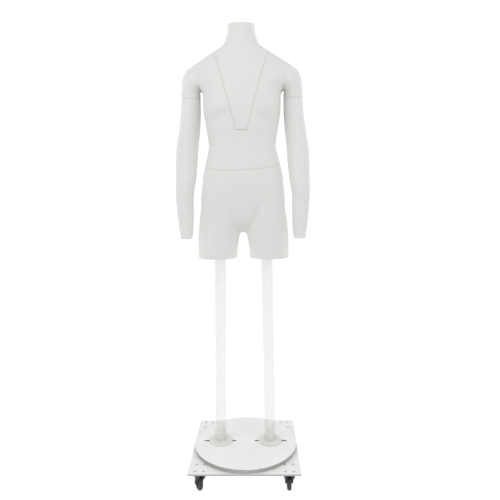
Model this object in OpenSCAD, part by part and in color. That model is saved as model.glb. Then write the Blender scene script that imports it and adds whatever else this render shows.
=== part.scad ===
// Sectional garment display torso on two clear legs, a turntable and a base on casters.
// Millimetres, Z up, floor at 0, the front of the body faces -Y. Heights named h are above the disc top.

/* [Base] */
// Side of the square base plate
plate_side = 400; // [380:5:440]
// Thickness of the base plate
plate_t = 6; // [5:1:10]
// Corner radius of the base plate
plate_corner = 5; // [2:1:12]

/* [Casters] */
// Height from the floor to the underside of the plate
caster_h = 85; // [82:1:100]
// Wheel diameter
wheel_d = 60; // [50:1:62]
// Wheel tread width
wheel_w = 15; // [14:1:20]
// How far the axle trails behind the swivel axis
trail = 16; // [12:1:22]
// Distance from the plate edge to the swivel axis
caster_inset = 40; // [34:1:60]
// How far the front left caster rests turned
swivel_rest = 26; // [-45:1:45]

/* [Turntable] */
// Diameter of the disc
disc_d = 396; // [380:2:400]
// Thickness of the disc
disc_t = 14; // [12:1:20]
// Clearance between the plate and the disc
disc_gap = 2; // [2:0.5:5]
// Width of the leg slots
slot_w = 9; // [8.5:0.5:10]
// Length of each leg slot
slot_len = 126; // [90:2:140]

/* [Legs] */
// Distance of each leg from the middle, at the disc
leg_x = 96; // [90:1:104]
// Inward lean of each tube in degrees
leg_lean = 0.75; // [0:0.05:1.2]
// Outside diameter of the clear tube
tube_od = 44; // [40:1:48]
// Wall of the clear tube
tube_wall = 4; // [3:0.5:5]
// Diameter of the foot flange
flange_d = 90; // [80:1:110]
// Thickness of the foot flange
flange_t = 8; // [6:1:14]
// Height of the spigot that stands in the tube
spigot_h = 58; // [40:1:80]

/* [Body shell] */
// Wall of the moulded shells
wall = 5; // [4:0.5:6]
// Half of the fine line left between two sections
seam = 0.25; // [0.15:0.05:0.6]
// Thickness of the end plates that close the sections
end_t = 5; // [4:0.5:7]
// Width of the ledge that an end plate sits on
ledge = 2.5; // [2:0.25:2.75]

/* [Section joints] */
// Diameter of the pins between hips and waist
waist_pin_d = 12; // [8:1:16]
// Length of the waist pins above the seam
waist_pin_l = 30; // [20:1:40]
// Diameter of the shoulder spigot
shoulder_pin_d = 20; // [14:1:24]
// Diameter of the upper arm spigot
arm_pin_d = 16; // [10:1:20]
// Diameter of the forearm spigot
fore_pin_d = 14; // [8:1:18]
// Length of the arm spigots
arm_pin_l = 28; // [18:1:36]
// Running clearance on radius
fit = 0.06; // [0.03:0.01:0.1]

/* [Hidden] */

$fn = 48;
shell_white = [0.9, 0.9, 0.89];
steel_white = [0.92, 0.92, 0.91];
steel = [0.7, 0.71, 0.73];
black = [0.12, 0.12, 0.13];
clear = [0.9, 0.93, 0.95, 0.45];
board = [0.8, 0.72, 0.6];

// Levels of the base
plate_top = caster_h + plate_t;
disc_low = plate_top + disc_gap;
top = disc_low + disc_t;

// Caster layout
cx = plate_side / 2 - caster_inset;
corners = [[-cx, -cx], [cx, -cx], [-cx, cx], [cx, cx]];
axle_z = wheel_d / 2;
axle_d = 8;
king_d = 8;
head_top = caster_h - 6;
cheek_in = wheel_w / 2 + 1.2;
cheek_out = cheek_in + 3.2;
head_r = 21;
screw_x = 15;
screw_y = 22;
screw_d = 5;

// Bearing in the middle of the turntable
pin_d = 17;
race_r = 12.8;
race_ball = 4.4;
race_od = 34;
washer_t = 2.4;
race_h = 8;
pocket_z = plate_top + race_h;
pad_r = 170;

// Leg fastening
slot_mid = 98.5;
bolt_d = 8;
tee_w = 21;
tee_z = disc_low + 8;
tube_id = tube_od - 2 * tube_wall;
spigot_d = tube_id - 2;
flange_top = top + flange_t;
lean_z = flange_top + spigot_h / 2;
tube_low = flange_top + tube_od / 2 * sin(leg_lean) + 0.1;
thigh_h = 724;
socket_h = 866;
socket_wall = 4;

// Heights of the body, above the disc
crotch_h = 818;
split_h = 826;
blend_h = 796;
seam_h = 1068;
seam_slope = 0.27;
seam_turn = 0.12;
waist_h = 1109;
neck_h = 1556;
neck_tip = 0.2;
neck_y = -12;
arm_h = 1298;
turn_h = 1320;
fore_h = 956;
wrist_h = 799;
armhole_x = 150;
armhole_y = 9;
armhole_pin_h = 1372;
pin_x = 70;

// Fine gap between two pieces that rest on each other, and sizes of the hidden joint parts
rest = 0.04;
magnet_d = 24;
magnet_t = 4;
bulkhead_t = 8;
cap_t = 4;
hole_t = 3.5;
socket_l = 24;
key_d = 6;
key_up = 30;

// Neckline of the removable neck
v_h = 1177;
v_half = 21;
v_slope = 0.264;
v_slit = 1.2;
v_y = -80;
v_rise = 1.69;
seat_top_h = 1496;

// Points round a section
trunk_n = 40;
neck_n = 28;
arm_n = 24;
bridge_n = 6;
trunk_rows = 34;

// Trunk: height, half width, depth in front, depth behind, middle in Y, squareness
trunk = [
    [ 816,  26,  22,  30,   0, 2.0],
    [ 840,  54,  52,  60,   0, 2.3],
    [ 862,  80,  70,  80,   0, 2.75],
    [ 902, 112,  84,  95,   0, 2.9],
    [ 960, 138,  94, 103,   0, 2.6],
    [1018, 145,  98,  99,   0, 2.3],
    [1076, 135,  97,  88,   0, 2.3],
    [1109, 126,  95,  82,   0, 2.3],
    [1134, 122.5, 95,  81,   0, 2.3],
    [1191, 129.5, 102,  88,  0, 2.35],
    [1248, 138, 107,  97,   0, 2.4],
    [1284, 140, 108, 103,   1, 2.4],
    [1316, 141, 107, 105,   3, 2.4],
    [1332, 150, 106, 105, 4.5, 2.4],
    [1353, 172, 103.5, 104, 6, 2.4],
    [1378, 181,  99, 101,   8, 2.3],
    [1408, 171,  92,  95,  11, 2.2],
    [1436, 149,  84,  86,  13, 2.1],
    [1458, 114,  78,  76,  13, 2.0],
    [1485,  70,  70,  66,   8, 2.0],
    [1510,  56,  59.5, 57,  -2, 2.0],
    [1532,  50,  54,  54,  -8, 2.0],
    [1556,  48.5, 51,  53, -12, 2.0]];

// Thigh: height, middle in X, half width, depth in front, depth behind, middle in Y
thigh = [
    [ 724, 96,   72.5, 78,  80, 6],
    [ 752, 95.5, 73,   80.5, 86, 6],
    [ 792, 92.5, 75.5, 83,  95, 6],
    [ 822, 89,   77,   84, 102, 5],
    [ 862, 84,   78.5, 84, 107, 4],
    [ 902, 78,   78.5, 82, 107, 2],
    [ 960, 69,   82,   80, 100, 1],
    [1018, 58,   72,   75,  86, 0],
    [1076, 45,   58,   60,  66, 0],
    [1110, 40,   50,   50,  55, 0]];

// Arm: height, middle in X, half width, half depth, middle in Y
arm = [
    [ 799, 205,   21,   23.5, -46],
    [ 841, 206.5, 26,   27,   -40],
    [ 901, 209.5, 30.5, 32,   -31],
    [ 958, 212,   33,   36,   -22],
    [1017, 207.5, 37.5, 40,   -12],
    [1074, 205,   40,   42,    -3],
    [1132, 201.5, 40.5, 43,     4],
    [1187, 194,   39,   45,     7],
    [1244, 188.5, 37,   46,     8],
    [1298, 186,   35,   45,     9]];

// How far the shoulder has turned from armhole to arm, by angle
turn = [[0, 0], [16, 0.29], [34, 0.465], [53, 0.745], [73, 0.98], [84, 1], [90, 1]];

// Smooth curve through a table of stations
function clip(v, lo, hi) = min(max(v, lo), hi);
function mix(a, b, u) = a + (b - a) * u;
function ease(u) = let (v = clip(u, 0, 1)) v * v * (3 - 2 * v);
function span(T, t, i = 0) = i >= len(T) - 2 || t < T[i + 1][0] ? i : span(T, t, i + 1);
function slope(T, i, k) =
    let (a = max(i - 1, 0), b = min(i + 1, len(T) - 1))
    (T[b][k] - T[a][k]) / (T[b][0] - T[a][0]);
function curve(T, t, k) =
    let (i = span(T, t), g = T[i + 1][0] - T[i][0], u = clip((t - T[i][0]) / g, 0, 1), v = 1 - u)
    T[i][k] * (1 + 2 * u) * v * v + slope(T, i, k) * g * u * v * v
    + T[i + 1][k] * u * u * (3 - 2 * u) - slope(T, i + 1, k) * g * u * u * v;
function station(T, t) = [for (k = [1 : len(T[0]) - 1]) curve(T, t, k)];
function hump(v, mid, below, above) = exp(-pow((v - mid) / (v < mid ? below : above), 2) / 2);

// Muscle relief on the front and back of the trunk
function front_relief(x, h) =
    10 * hump(abs(x), 78, 34, 30) * hump(h, 1274, 14, 50)
    - 2 * hump(x, 0, 11, 11) * hump(h, 1368, 8, 10)
    - 2 * hump(x, 0, 11, 11) * hump(h, 1190, 60, 60)
    - 3 * hump(abs(x), 26 + 0.54 * (h - 835), 13, 9) * hump(h, 892, 34, 40)
    + 3 * hump(abs(x), 38, 22, 26) * hump(h, 1200, 55, 45);
function back_relief(x, h) =
    5 * hump(abs(x), 70, 34, 40) * hump(h, 1325, 50, 40)
    - 7 * hump(x, 0, 15, 15) * hump(h, 1190, 110, 110);

// Reach of an oval from the middle, and of a thigh that stands off to one side
function oval_r(a, b, e, c, s) = pow(pow(abs(c) / a, e) + pow(abs(s) / b, e), -1 / e);
function thigh_r(T, c, s, w) =
    let (a = T[1] - w, b = (s < 0 ? T[2] : T[3]) - w,
        p = pow(c / a, 2) + pow(s / b, 2),
        q = c * T[0] / (a * a) + s * T[4] / (b * b),
        k = pow(T[0] / a, 2) + pow(T[4] / b, 2) - 1,
        d = q * q - p * k)
    d <= 0 ? 0 : max(0, (q + sqrt(d)) / p);

// The slanted seam under the waist fades out above and below
function shear(h) = seam_slope * (h > seam_h ? ease((waist_h - h) / (waist_h - seam_h))
    : ease((h - 930) / (seam_h - 930)));

// One ring of the trunk at height h, drawn in by w and moved up by dz
function trunk_ring(h, n, w = 0, dz = 0) =
    let (s = station(trunk, h), g = station(thigh, h), k = shear(h), low = h < waist_h - 1,
        tip = neck_tip * ease((h - 1490) / (neck_h - 1490)))
    [for (i = [0 : n - 1])
        let (t = 360 * i / n, c = cos(t), q = sin(t),
            r0 = oval_r(s[0] - w, (q < 0 ? s[1] : s[2]) - w, s[4], c, q),
            right = low ? thigh_r(g, c, q, w) : 0,
            left = low ? thigh_r(g, -c, q, w) : 0,
            r = low ? pow(pow(r0, 14) + pow(right, 14) + pow(left, 14), 1 / 14) : r0,
            x = r * c,
            y = r * q + s[3] - (q < 0 ? -q * front_relief(x, h) : -q * back_relief(x, h)))
        [h > waist_h ? clip(x, w - armhole_x, armhole_x - w) : x, y,
            h + dz + k * (y + seam_turn * x) + tip * (y - neck_y)]];

// A thigh keeps the point directions of the ring that it leaves, no closer than least_turn to each other
least_turn = 3;
function thigh_turns(side) =
    let (ring = trunk_ring(split_h, trunk_n), loop = leg_loop(ring, bridge(ring, 0), side),
        g = station(thigh, split_h), n = len(loop), m = trunk_n / 4,
        raw = [for (p = loop)
            atan2((p[1] - g[4]) / (p[1] < g[4] ? g[2] : g[3]), (p[0] - side * g[0]) / g[1])],
        steps = [for (i = [0 : n - 1])
            let (d = raw[(i + 1) % n] - raw[i]) max(d - 360 * round(d / 360), least_turn)],
        sums = [for (i = 0, a = 0; i <= n; a = a + (i < n ? steps[i] : 0), i = i + 1) a])
    [for (i = [0 : n - 1]) raw[m] + (sums[i] - sums[m]) * 360 / sums[n]];
turns_r = thigh_turns(1);
turns_l = thigh_turns(-1);

function thigh_point(h, t, side, w) =
    let (g = station(thigh, h))
    [side * g[0] + (g[1] - w) * cos(t), g[4] + ((sin(t) < 0 ? g[2] : g[3]) - w) * sin(t), h];
function thigh_ring(h, side, w = 0) =
    [for (t = side > 0 ? turns_r : turns_l) thigh_point(h, t, side, w)];

function arm_ring(h, n, w = 0, dz = 0) =
    let (s = station(arm, h))
    [for (i = [0 : n - 1])
        let (t = 360 * i / n)
        [s[0] + (s[1] - w) * cos(t), s[3] + (s[2] - w) * sin(t), h + dz]];

// Outline of the flat armhole, from the trunk where it passes the armhole plane
armhole_low = 1332;
armhole_high = 1435.2;
function armhole_y_at(h, front) =
    let (s = station(trunk, h), b = front ? s[1] : s[2],
        f = 1 - pow(min(armhole_x / s[0], 1), s[4]))
    s[3] + (front ? -1 : 1) * b * pow(max(f, 0), 1 / s[4]);

// One ring of the shoulder: it turns about the armpit from the armhole to above the arm joint
function shoulder_ring(a, n, w = 0, dx = 0) =
    let (u = curve(turn, a, 1), s = station(arm, arm_h),
        mid = (armhole_high + armhole_low) / 2, half = (armhole_high - armhole_low) / 2)
    [for (i = [0 : n - 1])
        let (t = 360 * i / n,
            h0 = mid + (half - w) * sin(t),
            g0 = mid + half * sin(t),
            y0 = armhole_y_at(g0, cos(t) < 0) - w * cos(t),
            r0 = h0 - turn_h,
            r1 = s[0] - armhole_x + (s[1] - w) * sin(t),
            y1 = s[3] + (s[2] - w) * cos(t),
            r = mix(r0, r1, u),
            y = mix(y0, y1, u) + 4 * sin(2 * a) * cos(t))
        [armhole_x + r * sin(a) + dx * cos(a), y, turn_h + r * cos(a) - dx * sin(a)]];

// Triangles between rings, then a solid with flat ends or a sleeve that comes back inside itself
function band(K, n, loop) =
    [for (k = [0 : K - (loop ? 1 : 2)]) for (i = [0 : n - 1])
        let (a = k * n + i, b = k * n + (i + 1) % n, d = ((k + 1) % K) * n + i,
            c = ((k + 1) % K) * n + (i + 1) % n)
        each [[a, d, c], [a, c, b]]];
function flat(list) = [for (a = list) each a];

module solid_loft(rings) {
    n = len(rings[0]);
    K = len(rings);
    polyhedron(flat(rings), concat(band(K, n, false), [[for (i = [0 : n - 1]) i]],
        [[for (i = [0 : n - 1]) K * n - 1 - i]]));
}

module sleeve(outside, inside) {
    back = [for (i = [len(inside) - 1 : -1 : 0]) inside[i]];
    rings = concat(outside, back);
    polyhedron(flat(rings), band(len(rings), len(rings[0]), true));
}

module up() {
    translate([0, 0, top])
        children();
}

module mirrored(side) {
    mirror([side < 0 ? 1 : 0, 0, 0])
        children();
}

module at_corners() {
    for (p = corners)
        translate([p[0], p[1], 0])
            children();
}

// The casters rest with their wheels turned in under the plate, the front left one a little askew
module on_caster(i) {
    translate([corners[i][0], corners[i][1], 0])
        rotate([0, 0, [swivel_rest, 0, 180, 180][i]])
            children();
}

module at_screws() {
    for (x = [-screw_x, screw_x])
        for (y = [-screw_y, screw_y])
            translate([x, y, 0])
                children();
}

// Base plate with countersunk caster holes
module base_plate() {
    color(steel_white)
    difference() {
        translate([0, 0, caster_h])
            linear_extrude(plate_t)
                rounded_square(plate_side, plate_side, plate_corner);
        at_corners()
            at_screws() {
                translate([0, 0, caster_h - 1])
                    cylinder(d = screw_d + 0.4, h = plate_t + 2);
                translate([0, 0, plate_top - 2.4])
                    cylinder(d1 = screw_d + 0.4, d2 = screw_d + 5.2, h = 2.4);
            }
        translate([0, 0, caster_h - 1])
            cylinder(d = pin_d, h = plate_t + 2);
    }
}

module rounded_square(x, y, r) {
    square([x - 2 * r, y], center = true);
    square([x, y - 2 * r], center = true);
    for (i = [-1, 1])
        for (j = [-1, 1])
            translate([i * (x / 2 - r), j * (y / 2 - r)])
                circle(r);
}

// Caster parts, drawn about the swivel axis
module caster_plates() {
    color(black)
    at_corners()
        difference() {
            union() {
                translate([0, 0, caster_h - 2.5])
                    linear_extrude(2.5)
                        rounded_square(2 * screw_x + 16, 2 * screw_y + 16, 4);
                translate([0, 0, head_top + 0.4])
                    cylinder(d = 34, h = caster_h - 2.5 - head_top - 0.4);
            }
            translate([0, 0, head_top - 1])
                cylinder(d = king_d, h = 10);
            at_screws()
                translate([0, 0, caster_h - 4])
                    cylinder(d = screw_d + 0.4, h = 6);
        }
}

module caster_kingpins() {
    color(steel)
    at_corners() {
        translate([0, 0, head_top - 10])
            cylinder(d = king_d, h = caster_h - head_top + 10);
        translate([0, 0, head_top - 10])
            cylinder(d = 14, h = 3.6);
    }
}

module caster_bolts() {
    color(steel)
    at_corners()
        at_screws() {
            translate([0, 0, caster_h - 8])
                cylinder(d = screw_d, h = plate_t + 8);
            translate([0, 0, plate_top - 2.4])
                cylinder(d1 = screw_d, d2 = screw_d + 4.8, h = 2.4);
            translate([0, 0, caster_h - 6.5])
                difference() {
                    cylinder(d = 9.2, h = 4, $fn = 6);
                    translate([0, 0, -1])
                        cylinder(d = screw_d, h = 6);
                }
        }
}

module fork(i) {
    color(black)
    on_caster(i)
        difference() {
            union() {
                translate([0, 0, head_top - 6])
                    cylinder(r = head_r, h = 6);
                translate([0, 0, head_top - 18])
                    cylinder(r1 = head_r - 1.5, r2 = head_r, h = 12);
                intersection() {
                    cheeks();
                    fork_taper();
                }
            }
            translate([-cheek_in, -60, -1])
                cube([2 * cheek_in, 120, head_top - 5]);
            translate([0, 0, head_top - 8])
                cylinder(d = king_d + 2 * fit, h = 10);
            translate([-40, trail, axle_z])
                rotate([0, 90, 0])
                    cylinder(d = axle_d, h = 80);
        }
}

module cheeks() {
    rotate([90, 0, 90])
        linear_extrude(2 * head_r, center = true) {
            polygon([[-18, head_top - 4], [16, head_top - 4], [trail + 7.5, axle_z + 3],
                [trail + 3, axle_z - 6], [trail - 5, axle_z - 6]]);
            translate([trail, axle_z])
                circle(8);
        }
}

// Seen from the front, the fork narrows from its head to the wheel
module fork_taper() {
    wide = head_r - 1.5;
    rotate([90, 0, 0])
        linear_extrude(120, center = true)
            for (s = [-1, 1])
                polygon([[0, 0], [s * cheek_out, 0], [s * cheek_out, axle_z + 8],
                    [s * wide, head_top - 18], [s * wide, head_top], [0, head_top]]);
}

module axle(i) {
    reach = cheek_out;
    color(steel)
    on_caster(i)
        translate([0, trail, axle_z])
            rotate([0, 90, 0]) {
            translate([0, 0, -reach])
                cylinder(d = axle_d, h = 2 * reach + 3.5);
            translate([0, 0, -reach - 2.5])
                cylinder(d = 13, h = 2.5);
            translate([0, 0, reach])
                difference() {
                    cylinder(d = 13.8, h = 3, $fn = 6);
                    translate([0, 0, -1])
                        cylinder(d = axle_d, h = 6);
                }
        }
}

module wheel(i) {
    r = wheel_d / 2;
    half = wheel_w / 2;
    e = 6;
    color(black)
    on_caster(i)
        translate([0, trail, axle_z])
            rotate([0, 90, 0])
                rotate_extrude() {
                    polygon([[axle_d / 2 + fit, -half - 0.8], [11, -half - 0.8], [12, -half + 4],
                        [r - 9, -half + 4], [r - 8, -half], [r - e, -half], [r, -half + e],
                        [r, half - e], [r - e, half], [r - 8, half], [r - 9, half - 4],
                        [12, half - 4], [11, half + 0.8], [axle_d / 2 + fit, half + 0.8]]);
                    for (s = [-1, 1])
                        translate([r - e, s * (half - e)])
                            circle(e);
                }
}

// Turntable bearing
module pivot_pin() {
    color(steel) {
        translate([0, 0, caster_h - 4])
            cylinder(d = pin_d, h = plate_t + race_h + 3);
        translate([0, 0, caster_h - 4])
            cylinder(d = 30, h = 4);
    }
}

module race_washer(z, groove_z, bore) {
    color(steel)
    difference() {
        translate([0, 0, z])
            cylinder(d = race_od, h = washer_t);
        translate([0, 0, z - 1])
            cylinder(d = bore, h = washer_t + 2);
        rotate_extrude()
            translate([race_r, groove_z])
                circle(d = race_ball + 0.2);
    }
}

module bearing_washer_lower() {
    race_washer(plate_top, plate_top + race_h / 2, pin_d);
}

module bearing_washer_upper() {
    race_washer(pocket_z - washer_t, plate_top + race_h / 2, pin_d + 2 * fit);
}

module bearing_balls() {
    color(steel)
    for (i = [0 : 11])
        rotate([0, 0, 30 * i])
            translate([race_r, 0, plate_top + race_h / 2])
                sphere(d = race_ball);
}

module glide_pads() {
    color([0.95, 0.95, 0.93])
    for (i = [0 : 3])
        rotate([0, 0, 45 + 90 * i])
            translate([pad_r, 0, plate_top])
                cylinder(d = 24, h = disc_gap - 0.3);
}

// Disc with two leg slots, wider underneath for the bolt heads
module turntable_disc() {
    r = disc_d / 2;
    e = 1.5;
    color(steel_white)
    difference() {
        union() {
            translate([0, 0, disc_low])
                cylinder(r = r - e, h = disc_t);
            translate([0, 0, disc_low + e])
                cylinder(r = r, h = disc_t - 2 * e);
            for (z = [disc_low + e, top - e])
                translate([0, 0, z])
                    rotate_extrude()
                        translate([r - e, 0])
                            circle(e);
        }
        translate([0, 0, disc_low - 1])
            cylinder(d = race_od, h = pocket_z - disc_low + 1);
        for (s = [-1, 1]) {
            slot(s, slot_w, slot_len, disc_low - 1, disc_t + 2);
            slot(s, tee_w, slot_len + tee_w - slot_w, disc_low - 1, tee_z - disc_low + 1);
        }
    }
}

module slot(s, w, len, z, h) {
    translate([s * slot_mid, 0, z]) {
        translate([-(len - w) / 2, -w / 2, 0])
            cube([len - w, w, h]);
        for (e = [-1, 1])
            translate([e * (len - w) / 2, 0, 0])
                cylinder(d = w, h = h);
    }
}

// Feet
module at_legs() {
    for (s = [-1, 1])
        translate([s * leg_x, 0, 0])
            children();
}

module leg_bolts() {
    color(steel)
    at_legs() {
        translate([0, 0, tee_z - 2])
            difference() {
                translate([-13, -9.5, 0])
                    cube([26, 19, 2]);
                translate([0, 0, -1])
                    cylinder(d = bolt_d, h = 4);
            }
        translate([0, 0, tee_z - 6])
            cylinder(d = bolt_d, h = flange_top - tee_z + 6 + 22);
        translate([0, 0, tee_z - 6])
            cylinder(d = 15, h = 4, $fn = 6);
    }
}

module leg_flanges() {
    r = flange_d / 2;
    e = min(5, flange_t - 1);
    color(steel_white)
    at_legs()
        difference() {
            union() {
                translate([0, 0, top])
                    cylinder(r = r - e, h = flange_t);
                translate([0, 0, top])
                    cylinder(r = r, h = flange_t - e);
                translate([0, 0, flange_top - e])
                    rotate_extrude()
                        intersection() {
                            translate([r - e, 0])
                                circle(e);
                            translate([r - e, 0])
                                square(e);
                        }
            }
            translate([0, 0, top - 1])
                cylinder(d = bolt_d, h = flange_t + 2);
        }
}

module leg_spigots() {
    color(shell_white)
    at_legs()
        difference() {
            union() {
                translate([0, 0, flange_top])
                    cylinder(d = spigot_d, h = spigot_h - 2);
                translate([0, 0, flange_top + spigot_h - 2])
                    cylinder(d1 = spigot_d, d2 = spigot_d - 4, h = 2);
            }
            translate([0, 0, flange_top - 1])
                cylinder(d = bolt_d, h = 23);
        }
}

// The tubes lean in; everything on a tube is drawn along its axis
module on_leg(s, z) {
    translate([s * leg_x, 0, lean_z])
        rotate([0, -s * leg_lean, 0])
            translate([0, 0, (z - lean_z) / cos(leg_lean)])
                children();
}

module leg_tubes() {
    color(clear)
    for (s = [-1, 1])
        on_leg(s, tube_low)
            difference() {
                cylinder(d = tube_od, h = top + socket_h - tube_low);
                translate([0, 0, -1])
                    cylinder(d = tube_id, h = top + socket_h - tube_low + 2);
            }
}

module thigh_sockets() {
    low = top + thigh_h;
    color([0.85, 0.85, 0.84])
    for (s = [-1, 1])
        on_leg(s, low)
            difference() {
                cylinder(d = tube_od + 2 * socket_wall, h = socket_h - thigh_h + 5);
                translate([0, 0, -1])
                    cylinder(d = tube_od, h = socket_h - thigh_h + 1 + 0.02);
            }
}

module thigh_plates() {
    color(board)
    difference() {
        up()
            for (s = [-1, 1])
                solid_loft([for (z = [seam, end_t])
                    [for (p = thigh_ring(thigh_h, s, ledge + 0.1)) p + [0, 0, z]]]);
        for (s = [-1, 1])
            on_leg(s, top + thigh_h - 10)
                cylinder(d = tube_od + 2 * socket_wall, h = 30);
    }
}

// Hips and thighs: trunk rings down to the split, then a loop for each leg joined by a bridge at the crotch
function bridge(ring, w) =
    let (m = trunk_n / 4, b = ring[m], f = ring[3 * m])
    [for (j = [1 : bridge_n - 1])
        let (t = 180 * j / bridge_n)
        [0, mix(b[1], f[1], (1 - cos(t)) / 2), mix(split_h, crotch_h + w, sin(t))]];

function leg_loop(ring, mid, side) =
    let (m = trunk_n / 4)
    side > 0 ? concat([for (i = [0 : 2 * m]) ring[(3 * m + i) % trunk_n]], mid)
    : concat([for (i = [0 : 2 * m]) ring[m + i]], [for (j = [bridge_n - 2 : -1 : 0]) mid[j]]);

// Under the split each point closes in on the thigh, level at first under the crotch and along it elsewhere
function leg_blend(loop, side, w, u) =
    let (fall = 1 - cos(90 * u), turns = side > 0 ? turns_r : turns_l)
    [for (i = [0 : len(loop) - 1])
        let (drop = max(0, (split_h - loop[i][2]) / (split_h - crotch_h)),
            level = (exp(-pow(loop[i][0] / 18, 2)) + sqrt(drop)) / 2,
            left = 1 - mix(ease(fall), sin(90 * u), level),
            z = mix(loop[i][2], blend_h, fall),
            a = thigh_point(loop[i][2], turns[i], side, w),
            b = thigh_point(z, turns[i], side, w))
        [b[0] + left * (loop[i][0] - a[0]), b[1] + left * (loop[i][1] - a[1]), z]];

module hip_shell() {
    n = trunk_n;
    q = n / 2 + bridge_n;
    outs = [for (i = [0 : 12]) trunk_ring(mix(split_h, seam_h - seam, i / 12), n)];
    ins = concat([for (i = [0 : 4]) trunk_ring(mix(split_h, seam_h - 24, i / 4), n, wall)],
        [trunk_ring(seam_h, n, wall, -end_t), trunk_ring(seam_h, n, ledge, -end_t),
            trunk_ring(seam_h, n, ledge, -seam)]);
    outs_mid = bridge(outs[0], 0);
    ins_mid = bridge(ins[0], wall);
    function legs_out(s) = concat(
        [for (u = [0.35, 0.7, 1]) leg_blend(leg_loop(outs[0], outs_mid, s), s, 0, u)],
        [for (i = [1 : 4]) thigh_ring(mix(blend_h, thigh_h, i / 4), s)]);
    function legs_in(s) = concat(
        [for (u = [0.5, 1]) leg_blend(leg_loop(ins[0], ins_mid, s), s, wall, u)],
        [thigh_ring(thigh_h + end_t, s, wall),
            thigh_ring(thigh_h + end_t, s, ledge),
            thigh_ring(thigh_h, s, ledge)]);
    up_pts = concat(flat(outs), flat(ins));
    mid_at = len(up_pts);
    mid_pts = concat(outs_mid, ins_mid);
    lo = [for (s = [1, -1]) concat(legs_out(s), [for (i = [len(legs_in(s)) - 1 : -1 : 0]) legs_in(s)[i]])];
    lo_at = [mid_at + len(mid_pts), mid_at + len(mid_pts) + len(lo[0]) * q];
    ko = len(outs);
    ki = len(ins);
    at_in = ko * n;
    no = len(legs_out(1));
    ni = len(legs_in(1));
    // Index loops of the split ring, in the order of leg_loop
    function loop_ids(base, mid, s) = s > 0
        ? concat([for (i = [0 : n / 2]) base + (3 * n / 4 + i) % n], [for (j = [0 : bridge_n - 2]) mid + j])
        : concat([for (i = [0 : n / 2]) base + n / 4 + i], [for (j = [bridge_n - 2 : -1 : 0]) mid + j]);
    function ids(s, k) = [for (i = [0 : q - 1]) lo_at[s > 0 ? 0 : 1] + k * q + i];
    function strip(a, b) = [for (i = [0 : q - 1]) let (j = (i + 1) % q)
        each [[a[i], b[i], b[j]], [a[i], b[j], a[j]]]];
    function leg_faces(s) = concat(
        strip(ids(s, 0), loop_ids(0, mid_at, s)),
        [for (k = [0 : no + ni - 2]) each strip(ids(s, k + 1), ids(s, k))],
        strip(loop_ids(at_in, mid_at + bridge_n - 1, s), ids(s, no + ni - 1)));
    top_rim = [for (i = [0 : n - 1]) let (j = (i + 1) % n, a = (ko - 1) * n, b = at_in + (ki - 1) * n)
        each [[a + i, b + i, b + j], [a + i, b + j, a + j]]];
    outer = band(ko, n, false);
    inner = [for (f = band(ki, n, false)) [f[0] + at_in, f[2] + at_in, f[1] + at_in]];
    color(shell_white)
    up()
        polyhedron(concat(up_pts, mid_pts, flat(lo[0]), flat(lo[1])),
            concat(outer, inner, top_rim, leg_faces(1), leg_faces(-1)));
}

// Seam between hips and waist
module at_seam(y) {
    up()
        translate([0, y, seam_h + seam_slope * y])
            rotate([atan(seam_slope * norm([1, seam_turn])), 0, -atan(seam_turn)])
                children();
}

module magnets(dir, over) {
    for (y = [-52, 52])
        at_seam(y)
            translate([0, 0, dir > 0 ? rest / 2 - over : -rest / 2 - magnet_t])
                cylinder(d = magnet_d, h = magnet_t + over);
}

module pins_at_seam(d, z0, z1) {
    for (s = [-1, 1])
        up()
            translate([s * pin_x, 0, seam_h + z0])
                cylinder(d = d, h = z1 - z0);
}

module hip_plate() {
    color(board)
    difference() {
        up()
            solid_loft([for (z = [-end_t, -rest / 2]) trunk_ring(seam_h, trunk_n, ledge + 0.1, z)]);
        pins_at_seam(waist_pin_d, -20, 20);
        magnets(-1, 1);
    }
}

module waist_pins() {
    color(steel) {
        pins_at_seam(waist_pin_d, -end_t - 3, waist_pin_l - 2);
        for (s = [-1, 1])
            up()
                translate([s * pin_x, 0, seam_h + waist_pin_l - 2])
                    cylinder(d1 = waist_pin_d, d2 = waist_pin_d - 4, h = 2);
    }
}

module hip_magnets() {
    color(steel)
    magnets(-1, 0);
}

module waist_magnets() {
    color(steel)
    magnets(1, 0);
}

module waist_plate() {
    color(board)
    difference() {
        union() {
            up()
                solid_loft([for (z = [rest / 2, end_t]) trunk_ring(seam_h, trunk_n, ledge + 0.1, z)]);
            difference() {
                pins_at_seam(waist_pin_d + 10, -end_t, waist_pin_l);
                up()
                    solid_loft([for (z = [-20, end_t / 2]) trunk_ring(seam_h, trunk_n, 0, z)]);
            }
        }
        pins_at_seam(waist_pin_d + 2 * fit, -20, waist_pin_l + 20);
        magnets(1, 1);
    }
}

module waist_shell() {
    n = trunk_n;
    t = end_t;
    color(shell_white)
    up()
        sleeve([for (i = [0 : 5]) trunk_ring(mix(seam_h + seam, waist_h, i / 5), n)],
            [trunk_ring(seam_h, n, ledge, seam), trunk_ring(seam_h, n, ledge, t),
                trunk_ring(seam_h, n, wall, t), trunk_ring(waist_h, n, wall, -bulkhead_t / 2),
                trunk_ring(waist_h, n, ledge, -bulkhead_t / 2), trunk_ring(waist_h, n, ledge)]);
}

module waist_bulkhead() {
    color(board)
    up()
        difference() {
            solid_loft([for (z = [-1, 1]) trunk_ring(waist_h, neck_n, ledge + 1, z * bulkhead_t / 2)]);
            translate([0, 0, waist_h - bulkhead_t])
                cylinder(d = 110, h = 2 * bulkhead_t);
        }
}

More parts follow.
